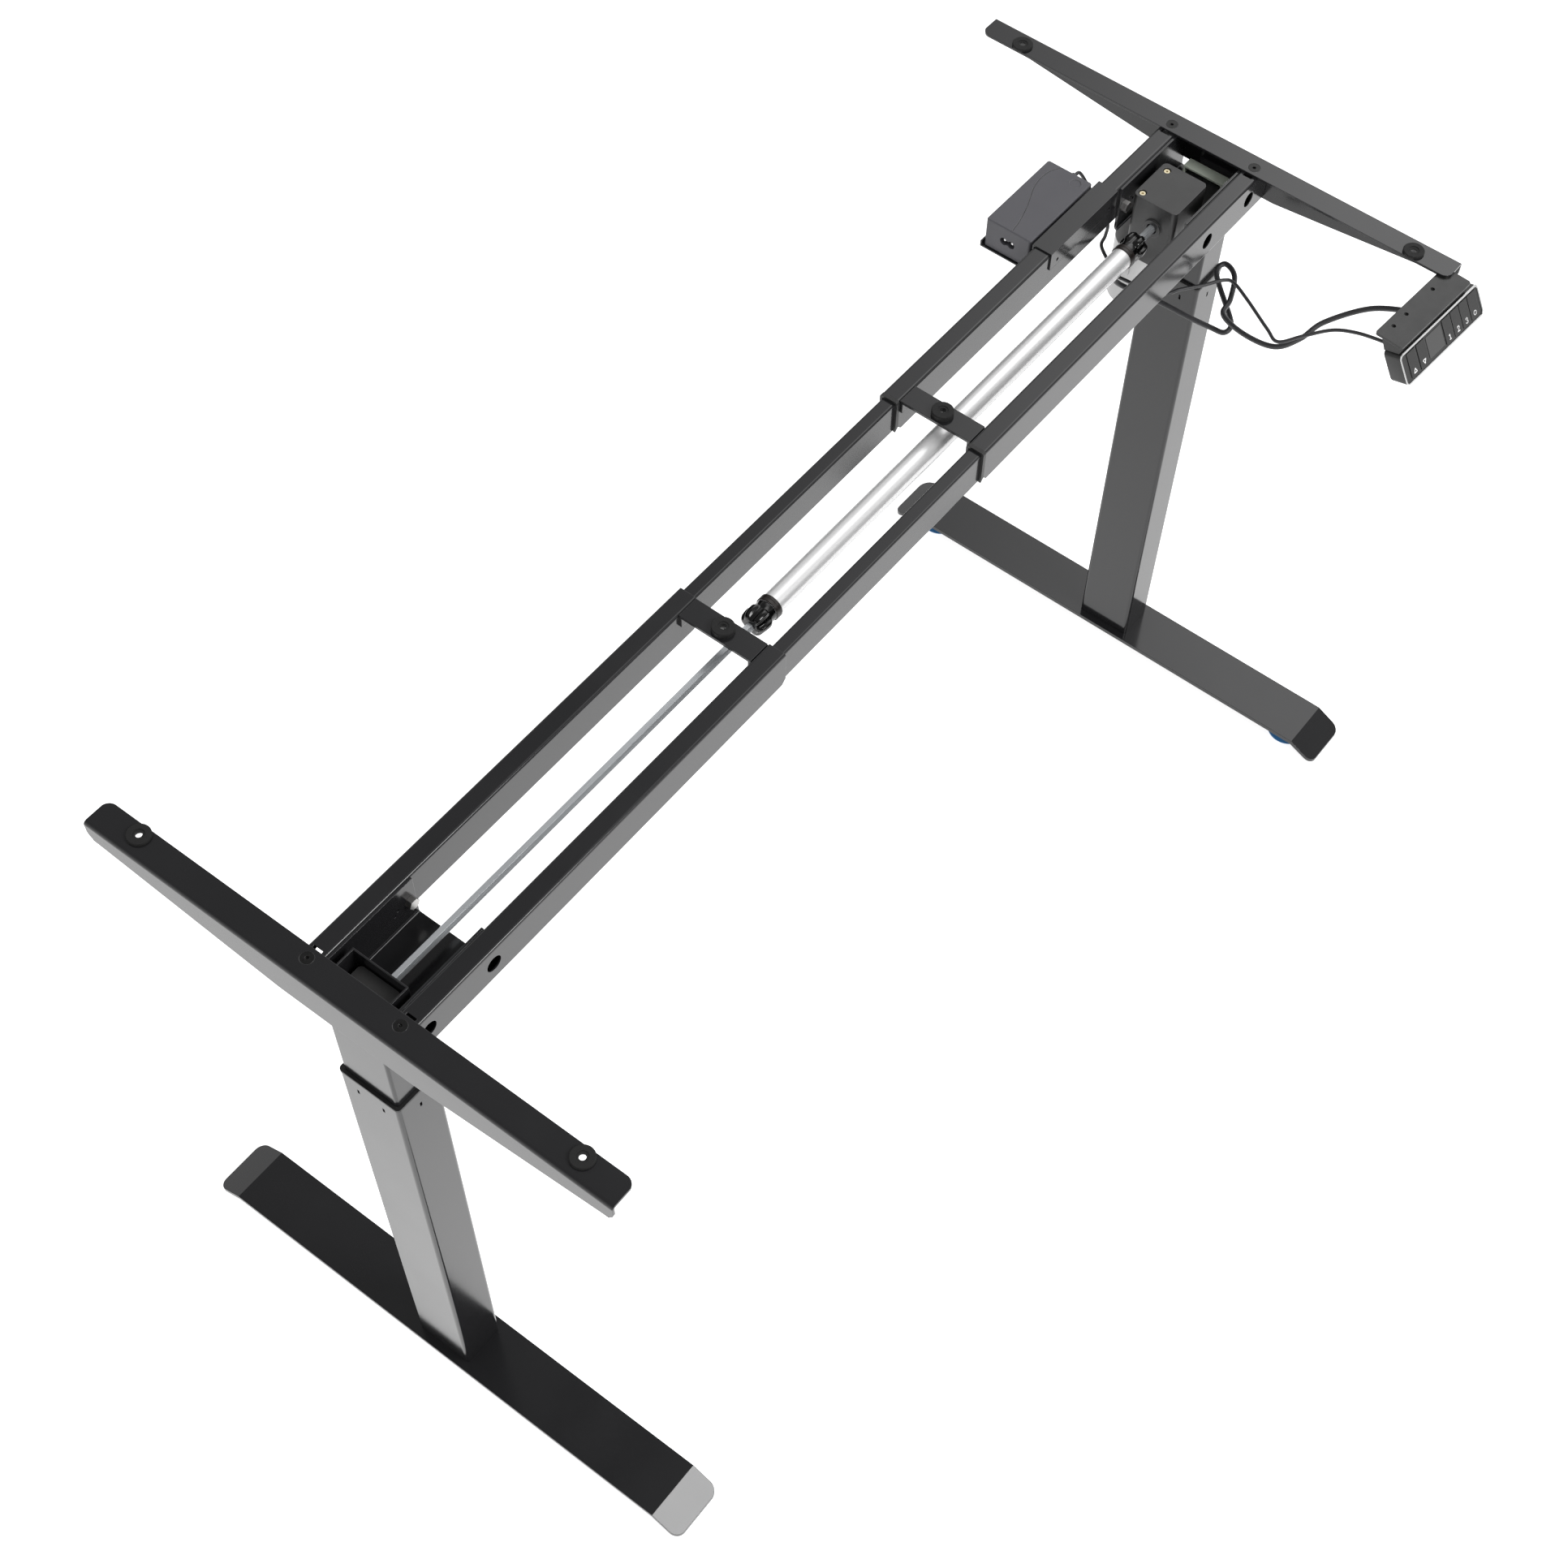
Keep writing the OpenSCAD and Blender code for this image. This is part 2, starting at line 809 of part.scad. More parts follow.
// Gearbox of the motor leg: a housing with a round belly and a low arm over the lead screw
module gearbox_motor() {
  edge_r = 5;
  arm_d = 42;
  arm_h = 12;
  arm_end = leg_x + inner_w / 2 - column_gap;
  neck = 2;
  bore_share = 0.7;
  color(housing_grey)
    difference() {
      union() {
        intersection() {
          translate([gear_start + gear_w / 2, gear_y, 0])
            round_block(gear_w, gear_d, edge_r, gear_h, gear_low);
          along_x(gear_start - over, gear_end + over)
            gear_outline();
        }
        translate([gear_end - edge_r, -arm_d / 2, floor_z])
          cube([arm_end - gear_end + edge_r, arm_d, arm_h]);
        translate([0, 0, shaft_z])
          rod_x(tube_r, gear_start - neck, gear_start + edge_r);
      }
      translate([0, 0, shaft_z])
        rod_x(shaft_flats * bore_share, gear_start - neck - over, gear_start + gear_w / 3);
      at_gear_screws()
        translate([0, 0, -gear_pocket])
          cylinder(r = gear_pocket, h = gear_pocket + over);
      journal_bore();
    }
}

// Cap screws in the pockets of the motor gearbox
module gearbox_screws() {
  head_r = 3;
  head_h = 3;
  key_r = 1.4;
  color([0.75, 0.72, 0.6])
    at_gear_screws()
      translate([0, 0, -gear_pocket])
        difference() {
          cylinder(r = head_r, h = head_h);
          translate([0, 0, head_h / 3])
            cylinder(r = key_r, h = head_h, $fn = 6);
        }
}

// Upright motor under the gearbox, with its end cap and cable outlet
motor_shift = 3;
motor_x = gear_start + gear_w / 2 + motor_shift;
motor_y = gear_back - motor_shift;
motor_outlet_drop = 22;
module motor() {
  cap_h = 3;
  hub_r = 7;
  outlet_w = 12;
  outlet_h = 9;
  outlet_len = 9;
  color([0.7, 0.7, 0.72])
    translate([motor_x, motor_y, gear_low - motor_len]) {
      cylinder(r = motor_r, h = motor_len);
      translate([0, 0, -cap_h])
        cylinder(r = motor_r - 2 * cap_h, h = cap_h);
      translate([0, 0, -2 * cap_h])
        cylinder(r = hub_r, h = cap_h);
      translate([-motor_r - cap_h, -outlet_w / 2, motor_len - motor_outlet_drop - outlet_h / 2])
        cube([outlet_len, outlet_w, outlet_h]);
    }
}

// Gearbox of the idle leg, with the hub that takes the hex rod
hub_share = 0.8;
idle_x = leg_x + idle_shift;
module gearbox_idle() {
  hub_len = 3;
  hub_x = idle_x - idle_w / 2 - hub_len;
  color(housing_grey)
    idle()
      difference() {
        union() {
          translate([idle_x, 0, 0])
            round_block(idle_w, idle_d, column_r, idle_h, floor_z);
          translate([0, 0, shaft_z])
            rod_x(shaft_flats, hub_x, leg_x);
        }
        translate([0, 0, shaft_z])
          rod_x(shaft_flats * hub_share, hub_x - over, rod_end + 2 * end_gap);
        journal_bore();
      }
}

// Sheet box round the idle gearbox, open at the top
module gear_shroud() {
  wall = 1.5;
  room = 1;
  side_room = 7.5;
  start = idle_x - idle_w / 2 - room - wall;
  half = idle_d / 2 + side_room;
  high = rail_top - side_gap - floor_z;
  color(coat)
    idle()
      difference() {
        translate([start, -half, floor_z])
          cube([rail_end - start - room, 2 * half, high]);
        translate([start + wall, wall - half, floor_z - over])
          cube([rail_end - start, 2 * (half - wall), high + 2 * over]);
        translate([0, 0, shaft_z])
          rod_x(shaft_flats + room, start - over, start + wall + over);
      }
}

// Drive tube of the motor side
module drive_tube() {
  color([0.83, 0.84, 0.86])
    translate([0, 0, shaft_z])
      difference() {
        rod_x(tube_r, -tube_near, tube_far);
        rod_x(tube_r - tube_t, -tube_near - over, tube_far + over);
      }
}

// Dark rings at both ends of the drive tube
module tube_rings() {
  color([0.12, 0.1, 0.1])
    translate([0, 0, shaft_z])
      for (x = [-tube_near, tube_far - ring_len])
        difference() {
          rod_x(ring_r, x, x + ring_len);
          rod_x(tube_r, x - over, x + ring_len + over);
        }
}

// One hand knob with lobes, from its flat end at x0, with the given hex bore
module knob(x0, flats) {
  lobes = 6;
  lobe_in = 2;
  difference() {
    union() {
      rod_x(knob_r, x0, x0 + knob_len);
      for (i = [1 : lobes])
        rotate([i * 360 / lobes, 0, 0])
          translate([0, 0, knob_r - lobe_in])
            rod_x(lobe_r, x0 + lobe_in, x0 + knob_len * 2 / 3);
    }
    hex_x(flats, x0 - over, x0 + knob_len + over);
  }
}

// Hand knobs that clamp the tube to the rod and to the stub
module hand_knobs() {
  color([0.06, 0.06, 0.07])
    translate([0, 0, shaft_z]) {
      knob(-tube_near - knob_len, shaft_flats + 2 * run);
      translate([2 * tube_far + knob_len, 0, 0])
        mirror([1, 0, 0])
          knob(tube_far, shaft_flats);
    }
}

// Short hex stub from the far knob into the motor gearbox
module hex_stub() {
  color([0.72, 0.75, 0.74])
    translate([0, 0, shaft_z])
      hex_x(shaft_flats, tube_far, gear_start + gear_w / 4);
}

// Long hex rod from the idle gearbox into the drive tube
module hex_rod() {
  journal = 13;
  color([0.72, 0.76, 0.74])
    translate([0, 0, shaft_z]) {
      hex_x(shaft_flats, over - rod_end, rod_len - rod_end);
      rod_x(shaft_flats * hub_share - run, -rod_end, journal - rod_end);
    }
}

// Power supply

brick_drop = 1;
tray_y = rail_out + lay;
brick_y = tray_y + tray_t + brick_gap;
brick_z = rail_top + tray_t - brick_drop - brick_h;
brick_mid_y = brick_y + brick_w / 2;

// Sheet tray that hooks over the rear rail
module psu_tray() {
  lip = 6.5;
  end_in = 2;
  room = 3;
  start = brick_x - end_in;
  y_end = brick_y + brick_w + room;
  hook_y = rail_in - lay - tray_t;
  hook_end = rail_top - hook_drop;
  hole = 1.8;
  hole_in_x = 12;
  color([0.1, 0.1, 0.11])
    difference() {
      along_x(start, start + tray_len)
        union() {
          translate([hook_y, rail_top + lay])
            square([tray_y + tray_t - hook_y, tray_t]);
          translate([hook_y, hook_end])
            square([tray_t, rail_top + lay + tray_t - hook_end]);
          translate([tray_y, brick_z - tray_t])
            square([tray_t, rail_top + lay + 2 * tray_t - brick_z]);
          translate([tray_y, brick_z - tray_t])
            square([y_end - tray_y, tray_t]);
          translate([y_end - tray_t, brick_z - tray_t])
            square([tray_t, lip]);
        }
      for (x = [start + hole_in_x, start + tray_len - hole_in_x])
        translate([x, 0, hook_end + hook_drop / 3])
          rod_y(hole, hook_y - over, hook_y + tray_t + over);
    }
}

inlet_z_share = 0.5;
pin_gap = 8.6;
inlet_r = 4.1;

// Power supply with its mains inlet, a moulded recess and the outlet of its lead
outlet_share = 0.66;
module power_supply() {
  corner_r = 2.5;
  inlet_len = 10;
  recess_r = 5.5;
  recess = 0.6;
  recess_in = 13;
  outlet_r = 4.5;
  outlet_len = 9;
  inlet_z = brick_z + brick_h * inlet_z_share;
  color([0.2, 0.2, 0.21])
    difference() {
      union() {
        translate([brick_x + brick_len / 2, brick_mid_y, 0])
          round_block(brick_len, brick_w, corner_r, brick_h, brick_z);
        translate([brick_x + brick_len, brick_mid_y, brick_z + brick_h * outlet_share])
          rod_x(outlet_r, -corner_r, outlet_len);
      }
      for (s = [-1, 1])
        translate([brick_x, brick_mid_y + s * pin_gap / 2, inlet_z])
          rod_x(inlet_r, -over, inlet_len);
      translate([brick_x - over, brick_mid_y - pin_gap / 2, inlet_z - inlet_r])
        cube([inlet_len + over, pin_gap, 2 * inlet_r]);
      translate([brick_x + brick_len - recess_in, brick_y + recess_in, brick_z + brick_h - recess])
        cylinder(r = recess_r, h = recess + over);
    }
}

// Two contact pins of the mains inlet
module inlet_pins() {
  pin_r = 1.2;
  pin_start = 2.5;
  pin_end = 10;
  color([0.8, 0.8, 0.78])
    for (s = [-1, 1])
      translate([brick_x, brick_mid_y + s * pin_gap / 2, brick_z + brick_h * inlet_z_share])
        rod_x(pin_r, pin_start, pin_end);
}

// Handset

hand_front = 284;
face_out = 18;
face_drop = 38.5;
face_low = [-face_out, -face_drop];
plate_t = 2.5;
hand_z = rail_top - plate_t - lay;
key_gap = 0.3;
key_lip = 3.6;
key_deep = 2;
key_out = 0.6;
key_h = face_h - 2 * key_lip;
key_shares = [0.125, 0.245, 0.575, 0.685, 0.795, 0.905];

// Children in the frame of the handset: X along it, Y to the back, Z up from its plate
module on_handset() {
  translate([hand_x, -hand_front, hand_z])
    rotate([0, 0, hand_yaw])
      children();
}

// Children on the front face: X along the handset, Y up the face, Z outwards
module on_face() {
  on_handset()
    translate([0, face_low[0], face_low[1]])
      rotate([90 - face_tilt, 0, 0])
        children();
}

// Case with its mounting plate, cable outlets and the pockets of the keys
module handset_case() {
  plate_r = 3;
  rear_turn = 17;
  neck_in = 3;
  thin_outlet_share = 0.15;
  thick_outlet_share = 0.54;
  thin_r = 4;
  thick_r = 5.5;
  outlet_drop = 24;
  outlet_end = 22;
  plate_x = 118;
  plate_y = 31;
  plate_over = 2;
  hole = 2.2;
  hole_shares = [0.14, 0.32, 0.7];
  hole_y_share = 0.66;
  neck_share = 0.11;
  face_top = face_low + face_h * [sin(face_tilt), cos(face_tilt)];
  rear = case_d * [cos(rear_turn), -sin(rear_turn)];
  color([0.2, 0.2, 0.21])
    difference() {
      on_handset() {
        along_x(0, hand_len)
          polygon([face_low, face_top, face_top + rear, face_low + rear]);
        along_x(neck_in, plate_x - 2 * neck_in)
          polygon([
            face_top + neck_share * rear, face_top + rear,
            [rear[0] + plate_r, over], [-neck_in / 2, over]
          ]);
        translate([plate_x / 2 - plate_over, plate_y / 2 - plate_over, 0])
          round_block(plate_x, plate_y, plate_r, plate_t, 0);
        for (s = [thin_outlet_share, thick_outlet_share])
          translate([s * hand_len, 0, -outlet_drop])
            rod_y(s == thin_outlet_share ? thin_r : thick_r, 0, outlet_end);
      }
      on_handset()
        for (s = hole_shares)
          translate([s * plate_x, plate_y * hole_y_share, -over])
            cylinder(r = hole, h = plate_t + 2 * over);
      on_face()
        for (s = key_shares)
          translate([s * hand_len - key_w / 2 - key_gap, key_lip, -key_deep - over])
            cube([key_w + 2 * key_gap, key_h, key_deep + 2 * over]);
    }
}

// Bright rim round the front face
module handset_rim() {
  width = 1.4;
  high = 1;
  color([0.75, 0.75, 0.77])
    on_face()
      translate([hand_len / 2, face_h / 2, 0])
        difference() {
          round_block(hand_len, face_h, 2 * width, high, 0);
          round_block(hand_len - 2 * width, face_h - 2 * width, width, high + 2 * over, -over);
        }
}

// One key in its pocket
module key(i) {
  color([0.17, 0.17, 0.18])
    on_face()
      translate([key_shares[i] * hand_len - key_w / 2, key_lip + key_gap, over - key_deep])
        cube([key_w, key_h - 2 * key_gap, key_deep - over + key_out]);
}

// Cables

// Point on a smooth curve through four neighbouring points
function spline(a, b, c, d, t) =
  0.5 * (2 * b + (c - a) * t + (2 * a - 5 * b + 4 * c - d) * t * t
  + (3 * b - a - 3 * c + d) * t * t * t);

// Smooth path through the chosen points with the given number of steps in each span
function smooth(p, n) = concat(
  [for (i = [0 : len(p) - 2], k = [0 : n - 1])
    spline(p[max(i - 1, 0)], p[i], p[i + 1], p[min(i + 2, len(p) - 1)], k / n)],
  [p[len(p) - 1]]);

function unit(v) = v / norm(v);

// Direction of the path at each ring
function along(p, i) = unit(p[min(i + 1, len(p) - 1)] - p[max(i - 1, 0)]);

// Side vectors carried from ring to ring without twist
function carry(p, i, u) = i == len(p) ? [] :
  let (t = along(p, i), v = unit(u - t * (u * t)))
  concat([v], carry(p, i + 1, v));

// Round tube along a path
module cord(points, r, steps, sides) {
  path = smooth(points, steps);
  n = len(path);
  us = carry(path, 0, [0.1, 0.3, 1]);
  rings = [for (i = [0 : n - 1], k = [0 : sides - 1])
    let (t = along(path, i), u = us[i], v = cross(t, u), a = 360 * k / sides)
    path[i] + r * (cos(a) * u + sin(a) * v)];
  walls = [for (i = [0 : n - 2], k = [0 : sides - 1])
    let (a = i * sides + k, b = i * sides + (k + 1) % sides)
    each [[a, b, b + sides], [a, b + sides, a + sides]]];
  caps = [[for (k = [sides - 1 : -1 : 0]) k],
    [for (k = [0 : sides - 1]) (n - 1) * sides + k]];
  color([0.12, 0.12, 0.13])
    translate([frame_half, 0, rail_top])
      polyhedron(points = rings, faces = concat(walls, caps), convexity = 10);
}

motor_cord_r = 2.7;
psu_cord_r = 1.75;

// Route of the motor lead from the handset to the motor, as steps from the end of the frame
motor_cord_points = [
  [-58, -267, -27], [-58, -259, -27], [-69, -222, -38], [-98, -191, -53], [-123, -181, -62],
  [-140, -164, -70], [-139, -130, -76], [-126, -98, -80], [-104, -92, -80], [-74, -78, -80],
  [-65, -62, -80], [-75, -58, -83], [-87, -70, -88], [-113, -100, -92], [-123, -107, -94],
  [-131, -104, -96], [-133, -91, -96], [-137, -68, -94], [-142, -35, -90], [-147, -12, -88],
  [-147, 8, -90], [-139, 20, -96], [-127, 24, -100], [-117, 24, -100]
];

// Route of the supply lead from the handset to the power supply, in the same way
psu_cord_points = [
  [-110, -264, -27], [-110, -256, -27], [-107, -229, -36], [-111, -206, -44], [-128, -185, -52],
  [-142, -167, -60], [-130, -148, -64], [-105, -110, -68], [-94, -87, -68], [-98, -77, -68],
  [-116, -66, -68], [-136, -51, -68], [-149, -44, -68], [-154, -25, -71], [-155, 0, -73],
  [-160, 12, -68], [-162, 18, -56], [-155, 33, -48], [-137, 40, -52], [-115, 51, -58],
  [-106, 66, -54], [-107, 84, -34], [-118, 89, -14], [-128, 89, -11]
];

// Nodes

module motor_rails() { color(coat) outer_rails(); }
module idle_rails() { color(coat) idle() outer_rails(); }
module motor_inserts() { color(black_plastic) rail_inserts(collar_t); }
module idle_inserts() { color(black_plastic) idle() rail_inserts(0); }
module motor_crossbar() { crossbar(); }
module idle_crossbar() { idle() crossbar(); }
module motor_side_bracket() { side_bracket(); }
module idle_side_bracket() { idle() side_bracket(); }
module motor_screws() { bracket_screws(); }
module idle_screws() { idle() bracket_screws(); }
module motor_pads() { desk_pads(); }
module idle_pads() { idle() desk_pads(); }
module motor_leg_bracket() { color(coat) leg_bracket(gear_end + lead_room); }
module idle_leg_bracket() { color(coat) idle() leg_bracket(channel_start); }
module motor_bolts() { bracket_bolts(); }
module idle_bolts() { idle() bracket_bolts(); }
module motor_inner_column() { inner_column(); }
module idle_inner_column() { idle() inner_column(); }
module motor_outer_column() { outer_column(); }
module idle_outer_column() { idle() outer_column(); }
module motor_guide() { column_guide(); }
module idle_guide() { idle() column_guide(); }
module motor_foot() { foot(); }
module idle_foot() { idle() foot(); }
module motor_nut_tube() { nut_tube(); }
module idle_nut_tube() { idle() nut_tube(); }
module motor_nut() { lead_nut(); }
module idle_nut() { idle() lead_nut(); }
module motor_lead_screw() { lead_screw(); }
module idle_lead_screw() { idle() lead_screw(); }
module motor_glide_front() { glide(-1); }
module motor_glide_rear() { glide(1); }
module idle_glide_front() { idle() glide(-1); }
module idle_glide_rear() { idle() glide(1); }
module key_up() { key(0); }
module key_down() { key(1); }
module key_one() { key(2); }
module key_two() { key(3); }
module key_three() { key(4); }
module key_store() { key(5); }
module motor_cord() { cord(motor_cord_points, motor_cord_r, 2, 8); }
module psu_cord() { cord(psu_cord_points, psu_cord_r, 1, 8); }

motor_rails();
motor_inserts();
motor_crossbar();
motor_side_bracket();
motor_screws();
motor_pads();
motor_leg_bracket();
motor_bolts();
motor_inner_column();
gearbox_motor();
gearbox_screws();
motor();
psu_tray();
power_supply();
inlet_pins();
handset_case();
handset_rim();
motor_cord();
psu_cord();
middle_rails();
idle_rails();
idle_inserts();
idle_crossbar();
idle_side_bracket();
idle_screws();
idle_pads();
idle_leg_bracket();
idle_bolts();
idle_inner_column();
gearbox_idle();
gear_shroud();
motor_outer_column();
motor_guide();
motor_foot();
motor_nut_tube();
motor_nut();
idle_outer_column();
idle_guide();
idle_foot();
idle_nut_tube();
idle_nut();
motor_lead_screw();
idle_lead_screw();
drive_tube();
tube_rings();
hand_knobs();
hex_stub();
hex_rod();
key_up();
key_down();
key_one();
key_two();
key_three();
key_store();
motor_glide_front();
motor_glide_rear();
idle_glide_front();
idle_glide_rear();
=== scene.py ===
"""Looks of a height adjustable desk frame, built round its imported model.

Every piece is in metres in the frame of the model: X runs to the motor end, Y to the back and Z up.
"""

import math

import bpy
import numpy as np
from bpy.props import FloatProperty, FloatVectorProperty, PointerProperty
from mathutils import Matrix, Vector
from mathutils.geometry import tessellate_polygon


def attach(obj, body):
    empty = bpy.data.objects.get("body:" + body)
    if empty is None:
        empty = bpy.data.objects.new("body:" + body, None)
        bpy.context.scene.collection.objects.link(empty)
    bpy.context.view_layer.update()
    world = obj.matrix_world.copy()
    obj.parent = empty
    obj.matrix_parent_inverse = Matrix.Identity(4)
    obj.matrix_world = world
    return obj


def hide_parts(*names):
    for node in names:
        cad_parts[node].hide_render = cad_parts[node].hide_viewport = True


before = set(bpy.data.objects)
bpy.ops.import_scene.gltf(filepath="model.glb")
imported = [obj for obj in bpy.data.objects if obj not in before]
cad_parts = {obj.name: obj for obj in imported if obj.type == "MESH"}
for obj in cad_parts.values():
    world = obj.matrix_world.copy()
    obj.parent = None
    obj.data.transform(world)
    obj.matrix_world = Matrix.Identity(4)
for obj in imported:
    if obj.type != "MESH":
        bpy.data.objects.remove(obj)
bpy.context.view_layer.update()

bl_info = {
    "name": "Desk Frame Finishes",
    "version": (1, 0, 0),
    "blender": (4, 5, 0),
    "location": "View3D > Sidebar > Desk Frame",
    "description": "Finishes, leads, knobs and marks for a height adjustable desk frame",
    "category": "Object",
}

# Places on the model
FRAME_END = 0.631
RAIL_TOP = 0.728
SHAFT_Z = 0.696
TUBE_NEAR = -0.098
TUBE_FAR = 0.465

# Drive tube and its rings: the ring's steps are (x, height over the tube) from its outer face
TUBE_WALL = 0.0015
TUBE_COLUMNS = 96
RING_STEPS = [
    (0.0, 0.0), (0.0, 0.0007), (0.0003, 0.001), (0.0028, 0.001), (0.0031, 0.0007),
    (0.0036, 0.0007), (0.0039, 0.001), (0.0067, 0.001), (0.007, 0.0007), (0.007, 0.0),
]

# Hand knobs: each row is a share of the length from the flat face to the tube, a share of the
# radius and a share of the lobes' height
KNOB_LEN = 0.024
KNOB_COLUMNS = 120
KNOB_LOBES = 6
KNOB_PROFILE = np.array([
    (0.0, 0.42, 0.0), (0.0, 0.66, 0.0), (0.015, 0.76, 0.35), (0.05, 0.82, 0.7), (0.12, 0.88, 0.9),
    (0.2, 0.93, 1.0), (0.3, 0.97, 1.0), (0.42, 1.0, 1.0), (0.52, 1.0, 1.0), (0.6, 1.0, 0.9),
    (0.66, 1.0, 0.6), (0.7, 1.0, 0.25), (0.74, 1.03, 0.0), (0.9, 1.05, 0.0), (0.97, 1.05, 0.0),
    (1.0, 1.0, 0.0), (1.0, 0.42, 0.0),
])

# Leads: points to each span of a route and round the lead
LEAD_STEPS = 10
LEAD_COLUMNS = 18

# Steps of the leads' routes from the end of the frame and the rail tops, in millimetres
MOTOR_LEAD = [
    (-58, -267, -27), (-58, -259, -27), (-69, -222, -38), (-98, -191, -53), (-123, -181, -62),
    (-140, -164, -70), (-139, -130, -76), (-126, -98, -80), (-104, -92, -80), (-74, -78, -80),
    (-65, -62, -80), (-75, -58, -83), (-87, -70, -88), (-113, -100, -92), (-123, -107, -94),
    (-131, -104, -96), (-133, -91, -96), (-137, -68, -94), (-142, -35, -90), (-147, -12, -88),
    (-147, 8, -90), (-139, 20, -96), (-127, 24, -100), (-117, 24, -100),
]
SUPPLY_LEAD = [
    (-110, -264, -27), (-110, -256, -27), (-107, -229, -36), (-111, -206, -44), (-128, -185, -52),
    (-142, -167, -60), (-130, -148, -64), (-105, -110, -68), (-94, -87, -68), (-98, -77, -68),
    (-116, -66, -68), (-136, -51, -68), (-149, -44, -68), (-154, -25, -71), (-155, 0, -73),
    (-160, 12, -68), (-162, 18, -56), (-155, 33, -48), (-137, 40, -52), (-115, 51, -58),
    (-106, 66, -54), (-107, 84, -34), (-118, 89, -14), (-128, 89, -11),
]

# Handset: its plate's corner in metres and its turn, then its sizes in millimetres. The face is
# tilted back, and the sides of the case run back and down from it
HAND_PLACE = (0.5, -0.284, 0.7254)
HAND_YAW = math.radians(-3.6)
HAND_LEN = 132.5
FACE_H = 33.0
FACE_LOW = (-18.0, -38.5)
FACE_TILT = math.radians(32.0)
REAR_TURN = math.radians(17.0)
FACE_UP = (math.sin(FACE_TILT), math.cos(FACE_TILT))
REARWARD = (math.cos(REAR_TURN), -math.sin(REAR_TURN))
NECK_SHARE = 0.11
NECK_SPAN = (3.0, 115.0)
NECK_REACH = (-1.5, 7.0)
NECK_TOP = 0.5
PLATE_EDGES = (-2.0, -2.0, 116.0, 29.0)
PLATE_CORNER = 3.0
PLATE_THICK = 2.5
PLATE_HOLES = ((16.52, 20.5), (37.76, 20.5), (82.6, 20.5))
PLATE_HOLE_R = 2.2
# Rounding of the case's rear: inset, and distance before the rear
REAR_ROUND = ((0.0, 1.6), (0.25, 0.8), (0.9, 0.2), (1.6, 0.0))
# Rim: inset at the ends and foot, inset at the top, and height over the face
RIM_BANDS = (
    (0.0, 0.0, 0.02), (0.0, 0.0, 0.65), (0.35, 0.45, 1.0), (1.0, 1.7, 1.0), (1.4, 2.2, 0.65),
    (1.4, 2.2, 0.02),
)
# Boots of the two leads: place as a share of the handset's length, and radius
LEAD_BOOTS = ((0.15, 3.6), (0.54, 5.0))
BOOT_START = -24
BOOT_LEN = 22.0
COLLAR_LEN = 10.0
RIBS = 4
RIB_PITCH = 2.8

# Keys: their places as shares of the handset's length, the pockets that they stand in, and the
# window and signs on the face
KEYS = {
    "key_up": 0.125, "key_down": 0.245, "key_one": 0.575, "key_two": 0.685, "key_three": 0.795,
    "key_store": 0.905,
}
KEY_W = 13.4
KEY_LIP = 3.6
KEY_GAP = 0.3
POCKET_FLOOR = -3.0
WINDOW = (41.5, 5.2, 67.0, 27.8, 1.2)
WINDOW_HEIGHTS = (0.02, 0.3)
SIGN_SCALE = 1.2
SIGN_RISE = 4.8
SIGN_LINE = 0.95
SIGN_OVERLAP = 0.3
SIGN_HEIGHTS = (0.61, 0.66)

# Power supply, in millimetres: its lower corner, the groove and the dish on its top, and the two
# circles of its mains socket
SUPPLY_PLACE = (389.0, 63.1, 695.5)
SUPPLY_SIZE = (105.0, 52.0, 33.0)
SUPPLY_CORNER = 2.5
SUPPLY_FOOT = 1.0
SUPPLY_GROOVE = [
    (2.2, 22.8), (13.0, 24.2), (24.8, 27.0), (37.0, 30.6), (49.4, 35.4), (61.7, 40.2), (72.4, 42.6),
    (84.0, 43.2), (94.0, 41.2), (102.6, 36.6),
]
GROOVE_WIDTH = 0.6
GROOVE_DEPTH = 0.7
DISH_PLACE = (94.0, 13.0)
DISH_R = 5.8
DISH_DEPTH = 0.5
SOCKET_REACH = 4.3
SOCKET_R = 4.1
SOCKET_DEPTH = 10.0
SUPPLY_BOOT = [
    (0.0, 4.5), (4.0, 4.4), (4.2, 3.6), (5.0, 3.6), (5.2, 4.1), (6.2, 4.0), (6.4, 3.3), (7.2, 3.3),
    (7.4, 3.7), (8.8, 3.5), (9.0, 3.2), (9.0, 0.0),
]
BOOT_RISE = 0.66
BOOT_COLUMNS = 32

# Points of a rounded corner, and the turn past which an edge stays sharp
CORNER_POINTS = 7
SHARP_ANGLE = math.radians(35)

# Axes of a section that is drawn in Y and Z and carried along X
ALONG_X = [(0, 1, 0), (0, 0, 1), (1, 0, 0)]

# Camera of the photograph: azimuth, elevation and roll in degrees, its place in metres, and the
# picture's width, focal length and optical centre in pixels
CAMERA_ANGLES = (-57.49, 59.78, 5.04)
CAMERA_PLACE = (-1.14729, -0.81300, 2.34140)
PICTURE = 1932.0
FOCAL = 2947.5
OPTICAL_CENTRE = (1077.33, 1208.09)
SENSOR = 36.0

# Stage: half the floor's width, the lamp, the room's light and the floor's own, and the soft patch
# in reflections: its direction, how sharply it grows and its strength
FLOOR_HALF = 14.0
LAMP_PLACE = (0.2, -2.4, 2.6)
LAMP_TARGET = (0.0, 0.0, 0.4)
LAMP_SIZE = 1.2
ROOM_LIGHT = 0.65
FLOOR_LIGHT = 0.8
PATCH_WAY = (0.7193, 0.0, 0.6947)
PATCH_POWER = 2.2
PATCH_LIGHT = 2.15

